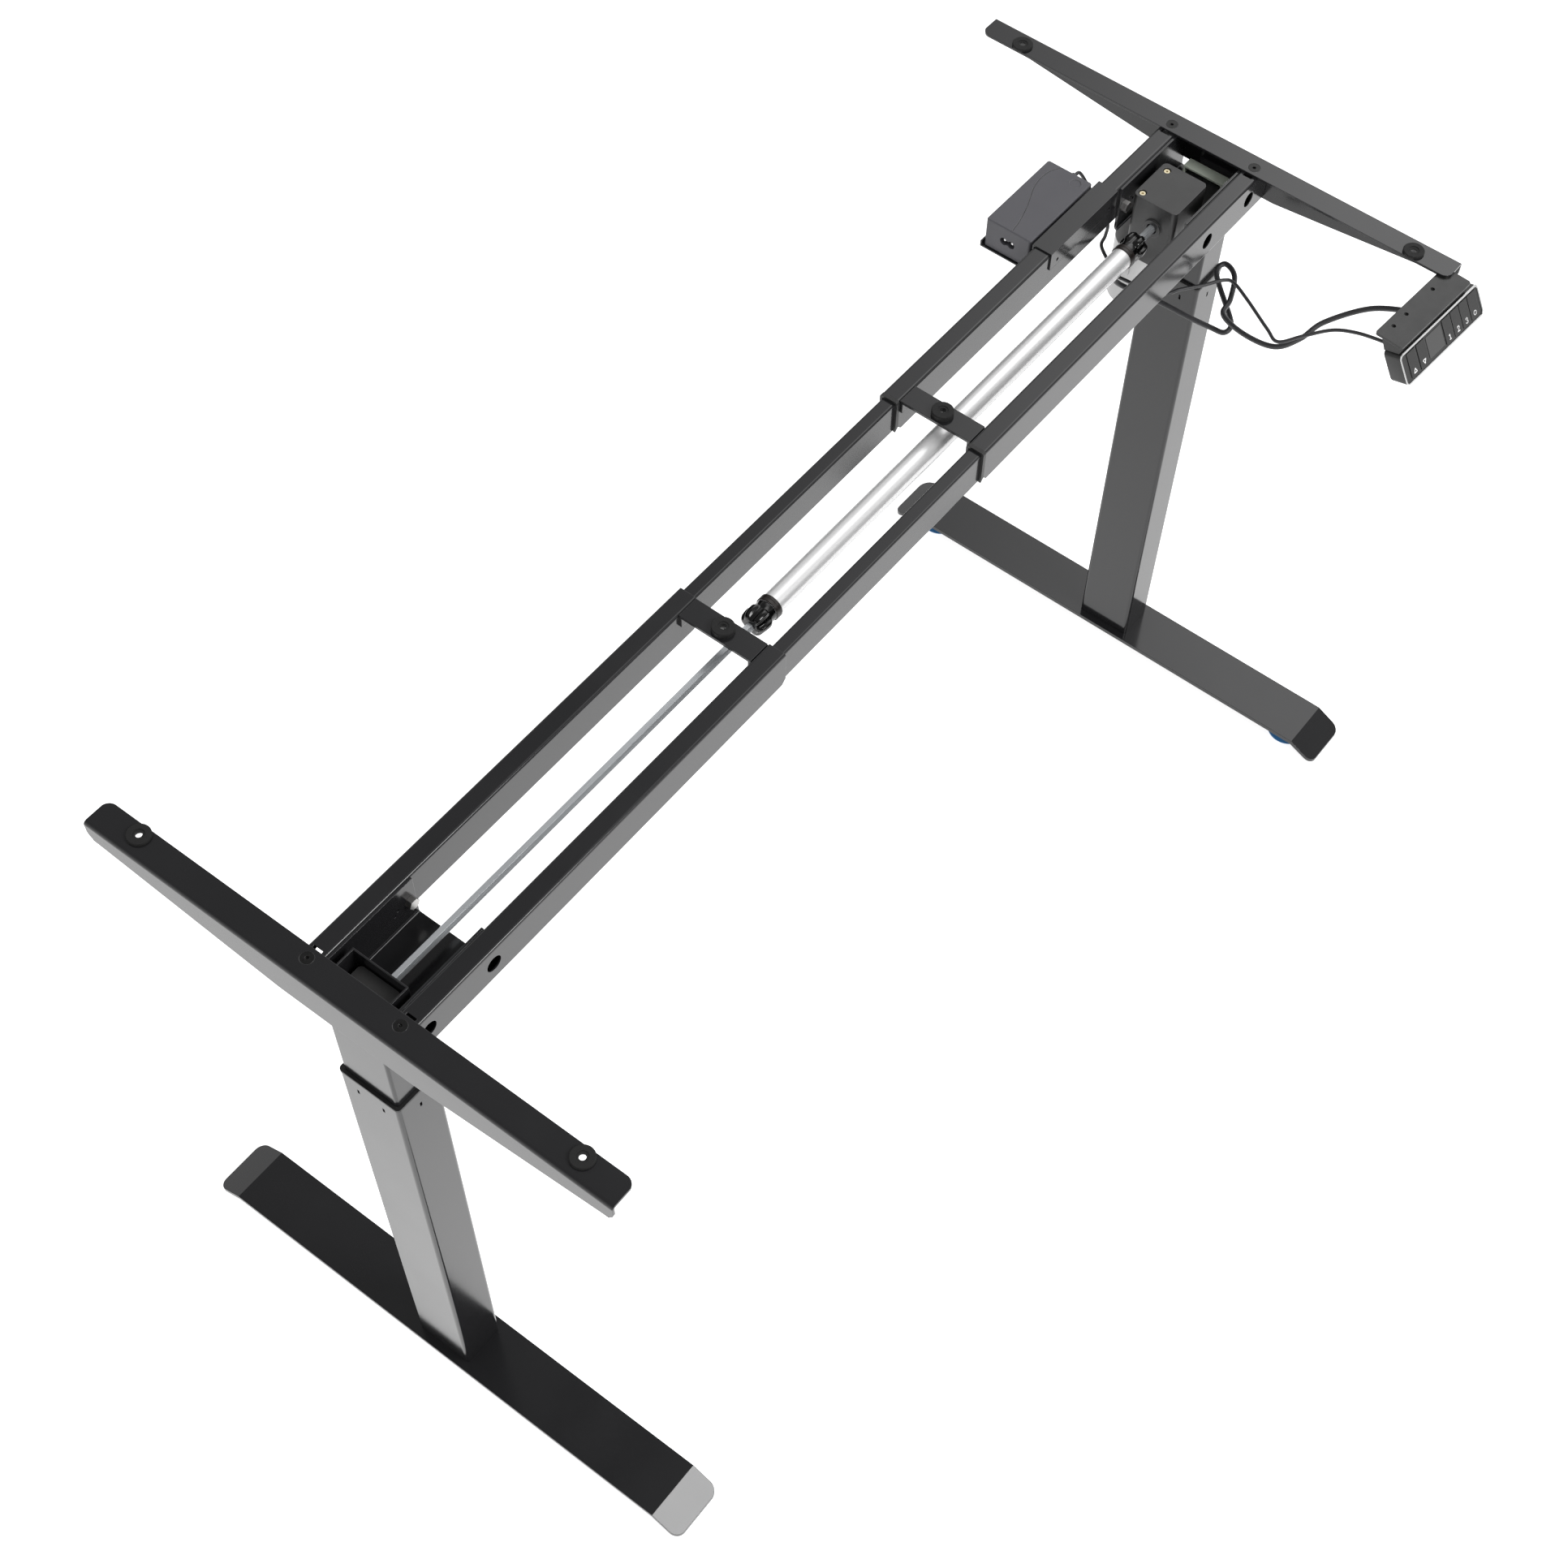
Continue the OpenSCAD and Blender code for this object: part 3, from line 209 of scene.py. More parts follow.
# Material of the nodes that keep their own shapes
FINISHES = {
    "powder_coat": [
        "motor_rails", "idle_rails", "middle_rails", "motor_crossbar", "idle_crossbar",
        "motor_side_bracket", "idle_side_bracket", "motor_leg_bracket", "idle_leg_bracket",
        "motor_inner_column", "idle_inner_column", "motor_outer_column", "idle_outer_column",
        "motor_foot", "idle_foot", "gear_shroud", "psu_tray",
    ],
    "black_plastic": ["motor_inserts", "idle_inserts", "motor_guide", "idle_guide"],
    "black_steel": ["motor_screws", "idle_screws"],
    "zinc": ["motor_bolts", "idle_bolts"],
    "rubber": ["motor_pads", "idle_pads"],
    "gear_housing": ["gearbox_motor", "gearbox_idle"],
    "brass_screws": ["gearbox_screws"],
    "motor_can": ["motor"],
    "pins": ["inlet_pins"],
    "key_plastic": ["key_up", "key_down", "key_one", "key_two", "key_three", "key_store"],
    "hex_steel": ["hex_stub", "hex_rod"],
    "lift_steel": ["motor_lead_screw", "idle_lead_screw", "motor_nut_tube", "idle_nut_tube"],
    "nut_plastic": ["motor_nut", "idle_nut"],
    "glide_blue": [
        "motor_glide_front", "motor_glide_rear", "idle_glide_front", "idle_glide_rear",
    ],
}


# Shapes


def surface(name, points, body, slot, finish, ends=False):
    """A mesh from a grid of points: its rows are rings, and each face joins four neighbours."""
    faces = tube_faces(*points.shape[:2], ends)
    return mesh_piece(name, points.reshape(-1, 3), faces, body, slot, finish)


def mesh_piece(name, verts, faces, body, slot, finish, smooth=True):
    """A finished object at the origin with its place in its mesh, riding on a body."""
    mesh = bpy.data.meshes.new(name)
    mesh.from_pydata(np.asarray(verts, float).tolist(), [], faces)
    mesh.polygons.foreach_set("use_smooth", [smooth] * len(faces))
    mesh.materials.append(bpy.data.materials["desk_" + finish])
    mesh.validate()
    if smooth:
        mesh.set_sharp_from_angle(angle=SHARP_ANGLE)
    piece = bpy.data.objects.new(name, mesh)
    bpy.context.scene.collection.objects.link(piece)
    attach(piece, body)
    return piece


def joined(parts):
    """Several (points, faces) pairs as one: each part's faces count on from the points before."""
    verts, faces, start = [], [], 0
    for p, f in parts:
        verts.append(np.asarray(p, float).reshape(-1, 3))
        faces += [[start + v for v in face] for face in f]
        start += len(verts[-1])
    return np.concatenate(verts), faces


def tube_faces(rows, cols, ends=False):
    """Faces of a tube of rows rings with cols points each, with a face over each end if asked."""
    i, j = np.meshgrid(np.arange(rows - 1), np.arange(cols), indexing="ij")
    k = (j + 1) % cols
    quads = np.stack([i * cols + j, i * cols + k, (i + 1) * cols + k, (i + 1) * cols + j], -1)
    faces = quads.reshape(-1, 4).tolist()
    if ends:
        faces += [list(range(cols))[::-1], list(range((rows - 1) * cols, rows * cols))]
    return faces


def lathe(profile, cols):
    """Points of a solid turned about an axis: each (x, r) pair becomes a ring of radius r at x."""
    profile = np.asarray(profile, float)
    a = np.linspace(0, 2 * np.pi, cols, endpoint=False)
    x = np.repeat(profile[:, :1], cols, 1)
    return np.stack([x, profile[:, 1:] * np.cos(a), profile[:, 1:] * np.sin(a)], -1)


def round_outline(x0, y0, x1, y1, r):
    """A rectangle with rounded corners, each a quarter circle."""
    a = np.linspace(0, np.pi / 2, CORNER_POINTS)
    centres = ((x1 - r, y0 + r), (x1 - r, y1 - r), (x0 + r, y1 - r), (x0 + r, y0 + r))
    rows = []
    for k, (x, y) in enumerate(centres):
        turn = a + (k - 1) * np.pi / 2
        rows.append(np.stack([x + r * np.cos(turn), y + r * np.sin(turn)], 1))
    return np.concatenate(rows)


def round_hole(x, y, r, steps=28):
    """A circle as an outline."""
    a = np.linspace(0, 2 * np.pi, steps, endpoint=False)
    return np.stack([x + r * np.cos(a), y + r * np.sin(a)], 1)


def ribbon(points, width):
    """The closed outline of a line of the given width: each point is moved half the width to either
    side, square to the line."""
    p = np.asarray(points, float)
    t = np.gradient(p, axis=0)
    t /= np.linalg.norm(t, axis=1, keepdims=True)
    side = np.stack([-t[:, 1], t[:, 0]], 1) * width / 2
    return np.concatenate([p - side, (p + side)[::-1]])


def plate(outline, holes=(), z=0.0, flip=False):
    """A flat face at height z with holes, cut into triangles."""
    rings = [np.asarray(outline, float)] + [np.asarray(h, float) for h in holes]
    points = np.concatenate(rings)
    verts = np.column_stack([points, np.full(len(points), z)])
    faces = [list(f) for f in tessellate_polygon([[Vector((*q, 0.0)) for q in r] for r in rings])]
    for face in faces:
        a, b, c = points[face[0]], points[face[1]], points[face[2]]
        up = (b[0] - a[0]) * (c[1] - a[1]) - (b[1] - a[1]) * (c[0] - a[0]) > 0
        if up == flip:
            face.reverse()
    return verts, faces


def wall(outline, z0, z1, inner=False):
    """The upright wall of an outline between two heights, facing outwards or into a hole."""
    o = np.asarray(outline, float)
    n = len(o)
    verts = np.concatenate([np.column_stack([o, np.full(n, z)]) for z in (z0, z1)])
    area = np.sum(o[:, 0] * np.roll(o[:, 1], -1) - np.roll(o[:, 0], -1) * o[:, 1])
    faces = [[i, (i + 1) % n, n + (i + 1) % n, n + i] for i in range(n)]
    if (area < 0) != inner:
        faces = [f[::-1] for f in faces]
    return verts, faces


def slab(outline, z0, z1):
    """A flat solid between two heights."""
    return joined([plate(outline, (), z1), plate(outline, (), z0, flip=True),
                   wall(outline, z0, z1)])


def pocket(outline, top, floor):
    """The walls and the floor of a blind hole."""
    return joined([wall(outline, floor, top, inner=True), plate(outline, (), floor)])


def ringed(outlines, heights):
    """Side faces through several outlines of equal length, each at its height."""
    n = len(outlines[0])
    verts = np.concatenate([np.column_stack([o, np.full(n, z)]) for o, z in zip(outlines, heights)])
    faces = [[k * n + i, k * n + (i + 1) % n, (k + 1) * n + (i + 1) % n, (k + 1) * n + i]
             for k in range(len(outlines) - 1) for i in range(n)]
    return verts, faces


def placed(part, rows, start=(0.0, 0.0, 0.0)):
    """A part whose X, Y and Z axes run along the given rows, moved to the start."""
    verts, faces = part
    rows = np.asarray(rows, float)
    verts = np.asarray(verts, float).reshape(-1, 3) @ rows + np.asarray(start, float)
    if np.linalg.det(rows) < 0:
        faces = [f[::-1] for f in faces]
    return verts, faces


def smooth_path(points, steps):
    """A smooth curve through points, with steps to each span: the cubic through the span's two ends
    whose slope at each end is half the difference of that end's two neighbours."""
    p = np.asarray(points, float)
    k = np.arange(len(p) - 1)
    corners = (np.maximum(k - 1, 0), k, k + 1, np.minimum(k + 2, len(p) - 1))
    a, b, c, d = (p[i][:, None, :] for i in corners)
    t = (np.arange(steps) / steps)[None, :, None]
    curve = 0.5 * (2 * b + (c - a) * t + (2 * a - 5 * b + 4 * c - d) * t**2
                   + (3 * b - a - 3 * c + d) * t**3)
    return np.concatenate([curve.reshape(-1, p.shape[1]), p[-1:]])


def side_vectors(path):
    """Two unit vectors at each point of a path, square to it and to each other. The first is
    carried along without twist: from the one before it, less its share along the path."""
    t = np.gradient(path, axis=0)
    t /= np.linalg.norm(t, axis=1, keepdims=True)
    u = np.cross(t[0], (0.1, 0.3, 1.0))
    sides = []
    for tangent in t:
        u = u - tangent * (u @ tangent)
        u = u / np.linalg.norm(u)
        sides.append(u)
    return np.array(sides), np.cross(t, sides)


def swept(path, radius, cols):
    """Ring points of a round tube: path + radius * (cos a * u + sin a * v) for each angle a."""
    u, v = side_vectors(path)
    a = np.linspace(0, 2 * np.pi, cols, endpoint=False)[None, :, None]
    return path[:, None, :] + radius * (np.cos(a) * u[:, None, :] + np.sin(a) * v[:, None, :])


# Finishes


def set_inputs(node, **values):
    """Values of a node's inputs by name, with _ in place of each space."""
    for label, value in values.items():
        node.inputs[label.replace("_", " ")].default_value = value


def add_node(tree, kind, operation=None, **values):
    """A new node with its operation and its inputs' values."""
    node = tree.nodes.new(kind)
    if operation:
        node.operation = operation
    set_inputs(node, **values)
    return node


def add_group(tree, name, **values):
    """A shader group placed in a material with its own values."""
    node = tree.nodes.new("ShaderNodeGroup")
    node.node_tree = bpy.data.node_groups[name]
    set_inputs(node, **values)
    return node


def add_mix(tree, **colours):
    """A mix of two colours, given as their linear red, green and blue."""
    node = tree.nodes.new("ShaderNodeMix")
    node.data_type = "RGBA"
    set_inputs(node, **{label: (*colour, 1.0) for label, colour in colours.items()})
    return node


def wire(tree, *rows):
    """Links, each given as a node, its output, another node and its input."""
    for source, out, sink, into in rows:
        tree.links.new(source.outputs[out], sink.inputs[into])


def new_group(name, inputs, outputs):
    """An empty shader node group with named sockets."""
    tree = bpy.data.node_groups.new(name, "ShaderNodeTree")
    for label, kind, default in inputs:
        socket = tree.interface.new_socket(label, in_out="INPUT", socket_type=kind)
        socket.default_value = default
    for label, kind in outputs:
        tree.interface.new_socket(label, in_out="OUTPUT", socket_type=kind)
    return tree, tree.nodes.new("NodeGroupInput"), tree.nodes.new("NodeGroupOutput")


def edge_group():
    """Rounded edges: a normal softened over a radius, and a mask where it leaves the true one."""
    tree, source, sink = new_group(
        "soft_edge", [("Radius", "NodeSocketFloat", 0.0005)],
        [("Normal", "NodeSocketVector"), ("Mask", "NodeSocketFloat")])
    bevel = add_node(tree, "ShaderNodeBevel")
    bevel.samples = 6
    geometry = add_node(tree, "ShaderNodeNewGeometry")
    dot = add_node(tree, "ShaderNodeVectorMath", "DOT_PRODUCT")
    ramp = add_node(tree, "ShaderNodeMapRange", From_Min=0.999, From_Max=0.86, To_Min=0.0,
                    To_Max=1.0)
    wire(tree, (source, "Radius", bevel, "Radius"), (bevel, "Normal", dot, 0),
         (geometry, "Normal", dot, 1), (dot, "Value", ramp, "Value"),
         (ramp, "Result", sink, "Mask"), (bevel, "Normal", sink, "Normal"))


def grain_group():
    """Fine grain with slow patches: a noise stretched along an axis for the relief, and a larger
    noise for the shade and the roughness."""
    tree, source, sink = new_group(
        "grain",
        [("Normal", "NodeSocketVector", (0.0, 0.0, 1.0)),
         ("Stretch", "NodeSocketVector", (1.0, 1.0, 1.0)), ("Scale", "NodeSocketFloat", 900.0),
         ("Depth", "NodeSocketFloat", 0.00002), ("Patch Scale", "NodeSocketFloat", 14.0),
         ("Rough Low", "NodeSocketFloat", 0.3), ("Rough High", "NodeSocketFloat", 0.4)],
        [("Normal", "NodeSocketVector"), ("Shade", "NodeSocketFloat"),
         ("Roughness", "NodeSocketFloat")])
    place = add_node(tree, "ShaderNodeTexCoord")
    scale = add_node(tree, "ShaderNodeVectorMath", "MULTIPLY")
    fine = add_node(tree, "ShaderNodeTexNoise", Detail=3.0)
    patch = add_node(tree, "ShaderNodeTexNoise", Detail=4.0, Roughness=0.6)
    bump = add_node(tree, "ShaderNodeBump", Strength=1.0)
    rough = add_node(tree, "ShaderNodeMapRange", From_Min=0.3, From_Max=0.7)
    wire(tree, (place, "Object", scale, 0), (source, "Stretch", scale, 1),
         (scale, "Vector", fine, "Vector"), (scale, "Vector", patch, "Vector"),
         (source, "Scale", fine, "Scale"), (source, "Patch Scale", patch, "Scale"),
         (fine, "Fac", bump, "Height"), (source, "Depth", bump, "Distance"),
         (source, "Normal", bump, "Normal"), (patch, "Fac", rough, "Value"),
         (source, "Rough Low", rough, "To Min"), (source, "Rough High", rough, "To Max"),
         (bump, "Normal", sink, "Normal"), (patch, "Fac", sink, "Shade"),
         (rough, "Result", sink, "Roughness"))


def finish(name, dark, light, rough, metallic=0.0, grain=900.0, depth=2e-5, patch=14.0,
           stretch=(1.0, 1.0, 1.0), edge=0.0005, edge_highlight_colour=None, specular=0.5, coat=0.0):
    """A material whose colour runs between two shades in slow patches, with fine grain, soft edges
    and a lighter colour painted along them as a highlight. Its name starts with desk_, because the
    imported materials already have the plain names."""
    material = bpy.data.materials.new("desk_" + name)
    material.use_nodes = True
    tree = material.node_tree
    shader = tree.nodes["Principled BSDF"]
    set_inputs(shader, Metallic=metallic, Specular_IOR_Level=specular, Coat_Weight=coat,
               Coat_Roughness=0.08)
    soft = add_group(tree, "soft_edge", Radius=edge)
    fine = add_group(tree, "grain", Stretch=stretch, Scale=grain, Depth=depth, Patch_Scale=patch,
                     Rough_Low=rough[0], Rough_High=rough[1])
    shade = add_mix(tree, A=dark, B=light)
    # Painted highlight: along the edges the colour turns to a lighter one, the given edge colour or
    # else the lighter shade
    edge_highlight = add_mix(tree, B=edge_highlight_colour or light)
    wire(tree, (soft, "Normal", fine, "Normal"), (fine, "Shade", shade, "Factor"),
         (shade, "Result", edge_highlight, "A"), (soft, "Mask", edge_highlight, "Factor"),
         (edge_highlight, "Result", shader, "Base Color"), (fine, "Roughness", shader, "Roughness"),
         (fine, "Normal", shader, "Normal"))


def grey(value, warm=0.0):
    """A linear grey from a display value of 0 to 255, a little warmer or cooler."""
    level = (value / 255.0) ** 2.2
    return (level * (1 + warm), level, level * (1 - warm))


# Settings


class FinishSettings(bpy.types.PropertyGroup):
    """Colours of the main finishes"""

    coat_colour: FloatVectorProperty(
        name="Powder coat", description="Colour of the steel pieces", subtype="COLOR",
        default=(0.012, 0.012, 0.013), min=0.0, max=1.0)
    glide_colour: FloatVectorProperty(
        name="Glides", description="Colour of the levelling glides", subtype="COLOR",
        default=(0.006, 0.13, 0.34), min=0.0, max=1.0)
    lead_colour: FloatVectorProperty(
        name="Leads", description="Colour of the two leads", subtype="COLOR",
        default=(0.02, 0.02, 0.022), min=0.0, max=1.0)


class LeadSettings(bpy.types.PropertyGroup):
    """Sizes of the two leads"""

    motor_lead: FloatProperty(
        name="Motor lead", description="Diameter of the lead to the motor", default=0.0054,
        min=0.003, max=0.008, unit="LENGTH")
    supply_lead: FloatProperty(
        name="Supply lead", description="Diameter of the lead to the power supply",
        default=0.0035, min=0.002, max=0.006, unit="LENGTH")


class KnobSettings(bpy.types.PropertyGroup):
    """Shape of the hand knobs"""

    radius: FloatProperty(
        name="Radius", description="Radius between the lobes", default=0.0104, min=0.008,
        max=0.012, unit="LENGTH")
    lobe: FloatProperty(
        name="Lobe height", description="Height of a lobe", default=0.0032, min=0.001, max=0.004,
        unit="LENGTH")
    tube: FloatProperty(
        name="Tube radius", description="Outer radius of the drive tube", default=0.011,
        min=0.009, max=0.012, unit="LENGTH")


class HandsetSettings(bpy.types.PropertyGroup):
    """Shape of the handset"""

    corner: FloatProperty(
        name="Corner", description="Corner radius of the case", default=0.005, min=0.003,
        max=0.007, unit="LENGTH")
    depth: FloatProperty(
        name="Depth", description="Depth of the case", default=0.0185, min=0.015, max=0.022,
        unit="LENGTH")


class SupplySettings(bpy.types.PropertyGroup):
    """Shape of the power supply"""

    edge: FloatProperty(
        name="Edge", description="Radius of the upper edges", default=0.0012, min=0.0005,
        max=0.002, unit="LENGTH")


class StageSettings(bpy.types.PropertyGroup):
    """Light and floor"""

    lamp: FloatProperty(
        name="Lamps", description="Power of the main lamp", default=50.0, min=0.0, max=500.0,
        unit="POWER")


# Pieces


class DESK_OT_finishes(bpy.types.Operator):
    """Give every piece of the model its finish"""

    bl_idname = "desk.finishes"
    bl_label = "Finishes"

    def execute(self, context):
        coat = tuple(context.scene.desk_finish.coat_colour)
        blue = tuple(context.scene.desk_finish.glide_colour)
        lead = tuple(context.scene.desk_finish.lead_colour)
        edge_group()
        grain_group()
        # Each edge colour below is a painted highlight that lightens the finish along its edges
        finish("powder_coat", coat, tuple(c * 1.4 for c in coat), (0.13, 0.19), grain=1500.0,
               depth=7e-6, patch=9.0, edge=0.0007, edge_highlight_colour=tuple(c * 2.6 for c in coat))
        finish("black_plastic", grey(34), grey(42), (0.42, 0.55), grain=2600.0, depth=2e-5,
               patch=60.0, edge=0.0004)
        finish("black_steel", grey(40), grey(58), (0.25, 0.36), metallic=0.8, grain=1800.0,
               patch=200.0, edge=0.0003, edge_highlight_colour=grey(90))
        finish("zinc", grey(160, 0.03), grey(190, 0.01), (0.26, 0.4), metallic=1.0, grain=900.0,
               patch=160.0, edge=0.0003)
        # Partly painted light: the strap's greenish plating colour is raised so that it reads
        # brightly lit, though it stands in the shadow of the bracket
        finish("strap_zinc_and_painted_light", (0.6, 0.66, 0.56), (0.68, 0.74, 0.64), (0.3, 0.42), metallic=0.15,
               grain=900.0, patch=90.0, edge=0.0003)
        finish("rubber", grey(26), grey(40), (0.6, 0.75), grain=1600.0, depth=6e-5, patch=300.0,
               edge=0.0004, specular=0.35)
        finish("gear_housing", grey(48), grey(56), (0.32, 0.44), grain=1500.0, depth=2.5e-5,
               patch=40.0, edge=0.0009, edge_highlight_colour=grey(92))
        finish("knob_plastic", grey(12), grey(18), (0.12, 0.2), grain=900.0, depth=1e-5,
               patch=60.0, edge=0.0004)
        finish("ring_plastic", (0.009, 0.006, 0.005), (0.016, 0.01, 0.008), (0.34, 0.46),
               grain=1800.0, depth=1.5e-5, patch=200.0, edge=0.0003)
        finish("brass_screws", (0.72, 0.62, 0.4), (0.82, 0.74, 0.52), (0.25, 0.4), metallic=0.4,
               patch=300.0, edge=0.0002)
        finish("motor_can", grey(165), grey(185), (0.3, 0.42), metallic=0.5, grain=500.0,
               stretch=(1.0, 1.0, 0.05), patch=20.0, edge=0.0006)
        finish("supply_case", (0.078, 0.077, 0.087), (0.09, 0.089, 0.1), (0.42, 0.54), grain=2600.0,
               depth=2.5e-5, patch=30.0, edge=0.0006, edge_highlight_colour=grey(112))
        finish("pins", grey(200), grey(215), (0.2, 0.3), metallic=1.0, edge=0.0002)
        finish("handset_plastic", grey(28), grey(36), (0.3, 0.4), grain=2600.0, depth=1.5e-5,
               patch=40.0, edge=0.0005, edge_highlight_colour=grey(72))
        finish("silver_rim", grey(178), grey(196), (0.24, 0.34), metallic=0.9, grain=2000.0,
               edge=0.0003)
        finish("key_plastic", grey(24), grey(30), (0.3, 0.4), grain=2600.0, depth=1.5e-5,
               patch=50.0, edge=0.0004, edge_highlight_colour=grey(66))
        finish("tube_aluminium", grey(240), grey(246), (0.24, 0.34), metallic=0.35, grain=500.0,
               depth=8e-6, stretch=(0.04, 1.0, 1.0), patch=60.0, edge=0.0004)
        finish("hex_steel", grey(200, -0.04), grey(218, -0.03), (0.22, 0.34), metallic=0.6,
               grain=600.0, depth=1e-5, stretch=(0.05, 1.0, 1.0), patch=80.0, edge=0.0004)
        finish("lift_steel", grey(150), grey(175), (0.25, 0.38), metallic=1.0, grain=700.0,
               patch=30.0)
        finish("nut_plastic", grey(215, 0.03), grey(228, 0.02), (0.4, 0.5), grain=900.0)
        finish("glide_blue", blue, tuple(c * 1.25 for c in blue), (0.35, 0.48), grain=1500.0,
               depth=2.5e-5, patch=80.0, edge=0.0008)
        finish("cable", lead, tuple(c * 1.6 for c in lead), (0.4, 0.5), grain=1800.0,
               depth=1.5e-5, patch=60.0)
        finish("display_glass", grey(24), grey(30), (0.1, 0.16), grain=200.0, depth=1e-6,
               patch=20.0, coat=0.5)
        finish("mark_paint", grey(240), grey(250), (0.45, 0.55), grain=1500.0, depth=5e-6,
               patch=200.0, edge=0.0001)
        for name, nodes in FINISHES.items():
            for node in nodes:
                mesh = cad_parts[node].data
                if not mesh.materials:
                    mesh.materials.append(None)
                for i in range(len(mesh.materials)):
                    mesh.materials[i] = bpy.data.materials["desk_" + name]
        return {"FINISHED"}


def lead(name, node, steps, diameter):
    """A round lead along its route."""
    route = np.array(steps, float) / 1000 + (FRAME_END, 0.0, RAIL_TOP)
    path = smooth_path(route, LEAD_STEPS)
    points = swept(path, diameter / 2, LEAD_COLUMNS)
    piece = surface(name, points, "motor_end", "cable", "cable", ends=True)
    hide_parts(node)


class DESK_OT_leads(bpy.types.Operator):
    """Lay the leads from the handset to the motor and to the power supply"""

    bl_idname = "desk.leads"
    bl_label = "Leads"

    def execute(self, context):
        sizes = context.scene.desk_lead
        lead("motor_lead", "motor_cord", MOTOR_LEAD, sizes.motor_lead)
        lead("supply_lead", "psu_cord", SUPPLY_LEAD, sizes.supply_lead)
        return {"FINISHED"}


def knob_points(start, end, radius, lobe):
    """A knob along X from its flat face at start to its tube side at end.

    The radius is the base radius of the profile plus the lobe height times a rounded six fold
    wave, which fades towards both ends.
    """
    s, base, wave = KNOB_PROFILE.T
    a = np.linspace(0, 2 * np.pi, KNOB_COLUMNS, endpoint=False)
    bump = np.clip(0.5 + 0.62 * np.cos(KNOB_LOBES * a), 0, 1)
    bump = bump * bump * (3 - 2 * bump)
    r = radius * base[:, None] + lobe * wave[:, None] * bump[None, :]
    x = np.repeat((start + (end - start) * s)[:, None], KNOB_COLUMNS, 1)
    return np.stack([x, r * np.cos(a), SHAFT_Z + r * np.sin(a)], -1)


class DESK_OT_knobs(bpy.types.Operator):
    """Mould the two lobed knobs that clamp the drive tube"""

    bl_idname = "desk.knobs"
    bl_label = "Hand knobs"

    def execute(self, context):
        sizes = context.scene.desk_knob
        near = knob_points(TUBE_NEAR - KNOB_LEN, TUBE_NEAR, sizes.radius, sizes.lobe)
        far = knob_points(TUBE_FAR + KNOB_LEN, TUBE_FAR, sizes.radius, sizes.lobe)
        faces = tube_faces(len(near), KNOB_COLUMNS)
        verts, all_faces = joined([(near, faces), (far, [f[::-1] for f in faces])])
        piece = mesh_piece("clamp_knobs", verts, all_faces, "drive", "black_plastic",
                           "knob_plastic")
        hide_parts("hand_knobs")
        return {"FINISHED"}


class DESK_OT_shaft(bpy.types.Operator):
    """Draw the drive tube and the dark rings at its ends"""

    bl_idname = "desk.shaft"
    bl_label = "Drive tube"

    def execute(self, context):
        r = context.scene.desk_knob.tube
        axis = (0.0, 0.0, SHAFT_Z)
        bore = r - TUBE_WALL
        skin = [(TUBE_NEAR, bore), (TUBE_NEAR, r), (TUBE_FAR, r), (TUBE_FAR, bore),
                (TUBE_NEAR, bore)]
        points = lathe(skin, TUBE_COLUMNS) + axis
        tube = surface("tube_skin", points, "drive", "tube_aluminium", "tube_aluminium")
        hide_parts("drive_tube")
        faces = tube_faces(len(RING_STEPS), TUBE_COLUMNS)
        parts = []
        for start, way in ((TUBE_NEAR, 1), (TUBE_FAR, -1)):
            ring = lathe([(start + way * x, r + h) for x, h in RING_STEPS], TUBE_COLUMNS) + axis
            parts.append((ring, faces if way > 0 else [f[::-1] for f in faces]))
        verts, faces = joined(parts)
        rings = mesh_piece("ring_skins", verts, faces, "drive", "black_plastic",
                           "ring_plastic")
        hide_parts("tube_rings")
        return {"FINISHED"}


def on_handset(part):
    """A part in millimetres in the handset's frame, moved to its place in metres. The handset's X
    runs along it, Y to the back and Z up."""
    c, s = math.cos(HAND_YAW), math.sin(HAND_YAW)
    return placed(part, np.array([(c, s, 0), (-s, c, 0), (0, 0, 1)]) / 1000, HAND_PLACE)


def on_face(part, upright=True):
    """A part in the frame of the face, with X along the handset, Y up the face and Z outwards.

    With upright off, Z runs from the front of the case to its rear along the case's sloping sides.
    """
    rows = [(1, 0, 0), (0, *FACE_UP), (0, -FACE_UP[1], FACE_UP[0]) if upright else (0, *REARWARD)]
    return on_handset(placed(part, rows, (0, *FACE_LOW)))


def face_outline(side, upper, corner):
    """The outline of the face, drawn in at its ends and foot by side and at its top by upper."""
    return round_outline(side, side, HAND_LEN - side, FACE_H - upper, corner)


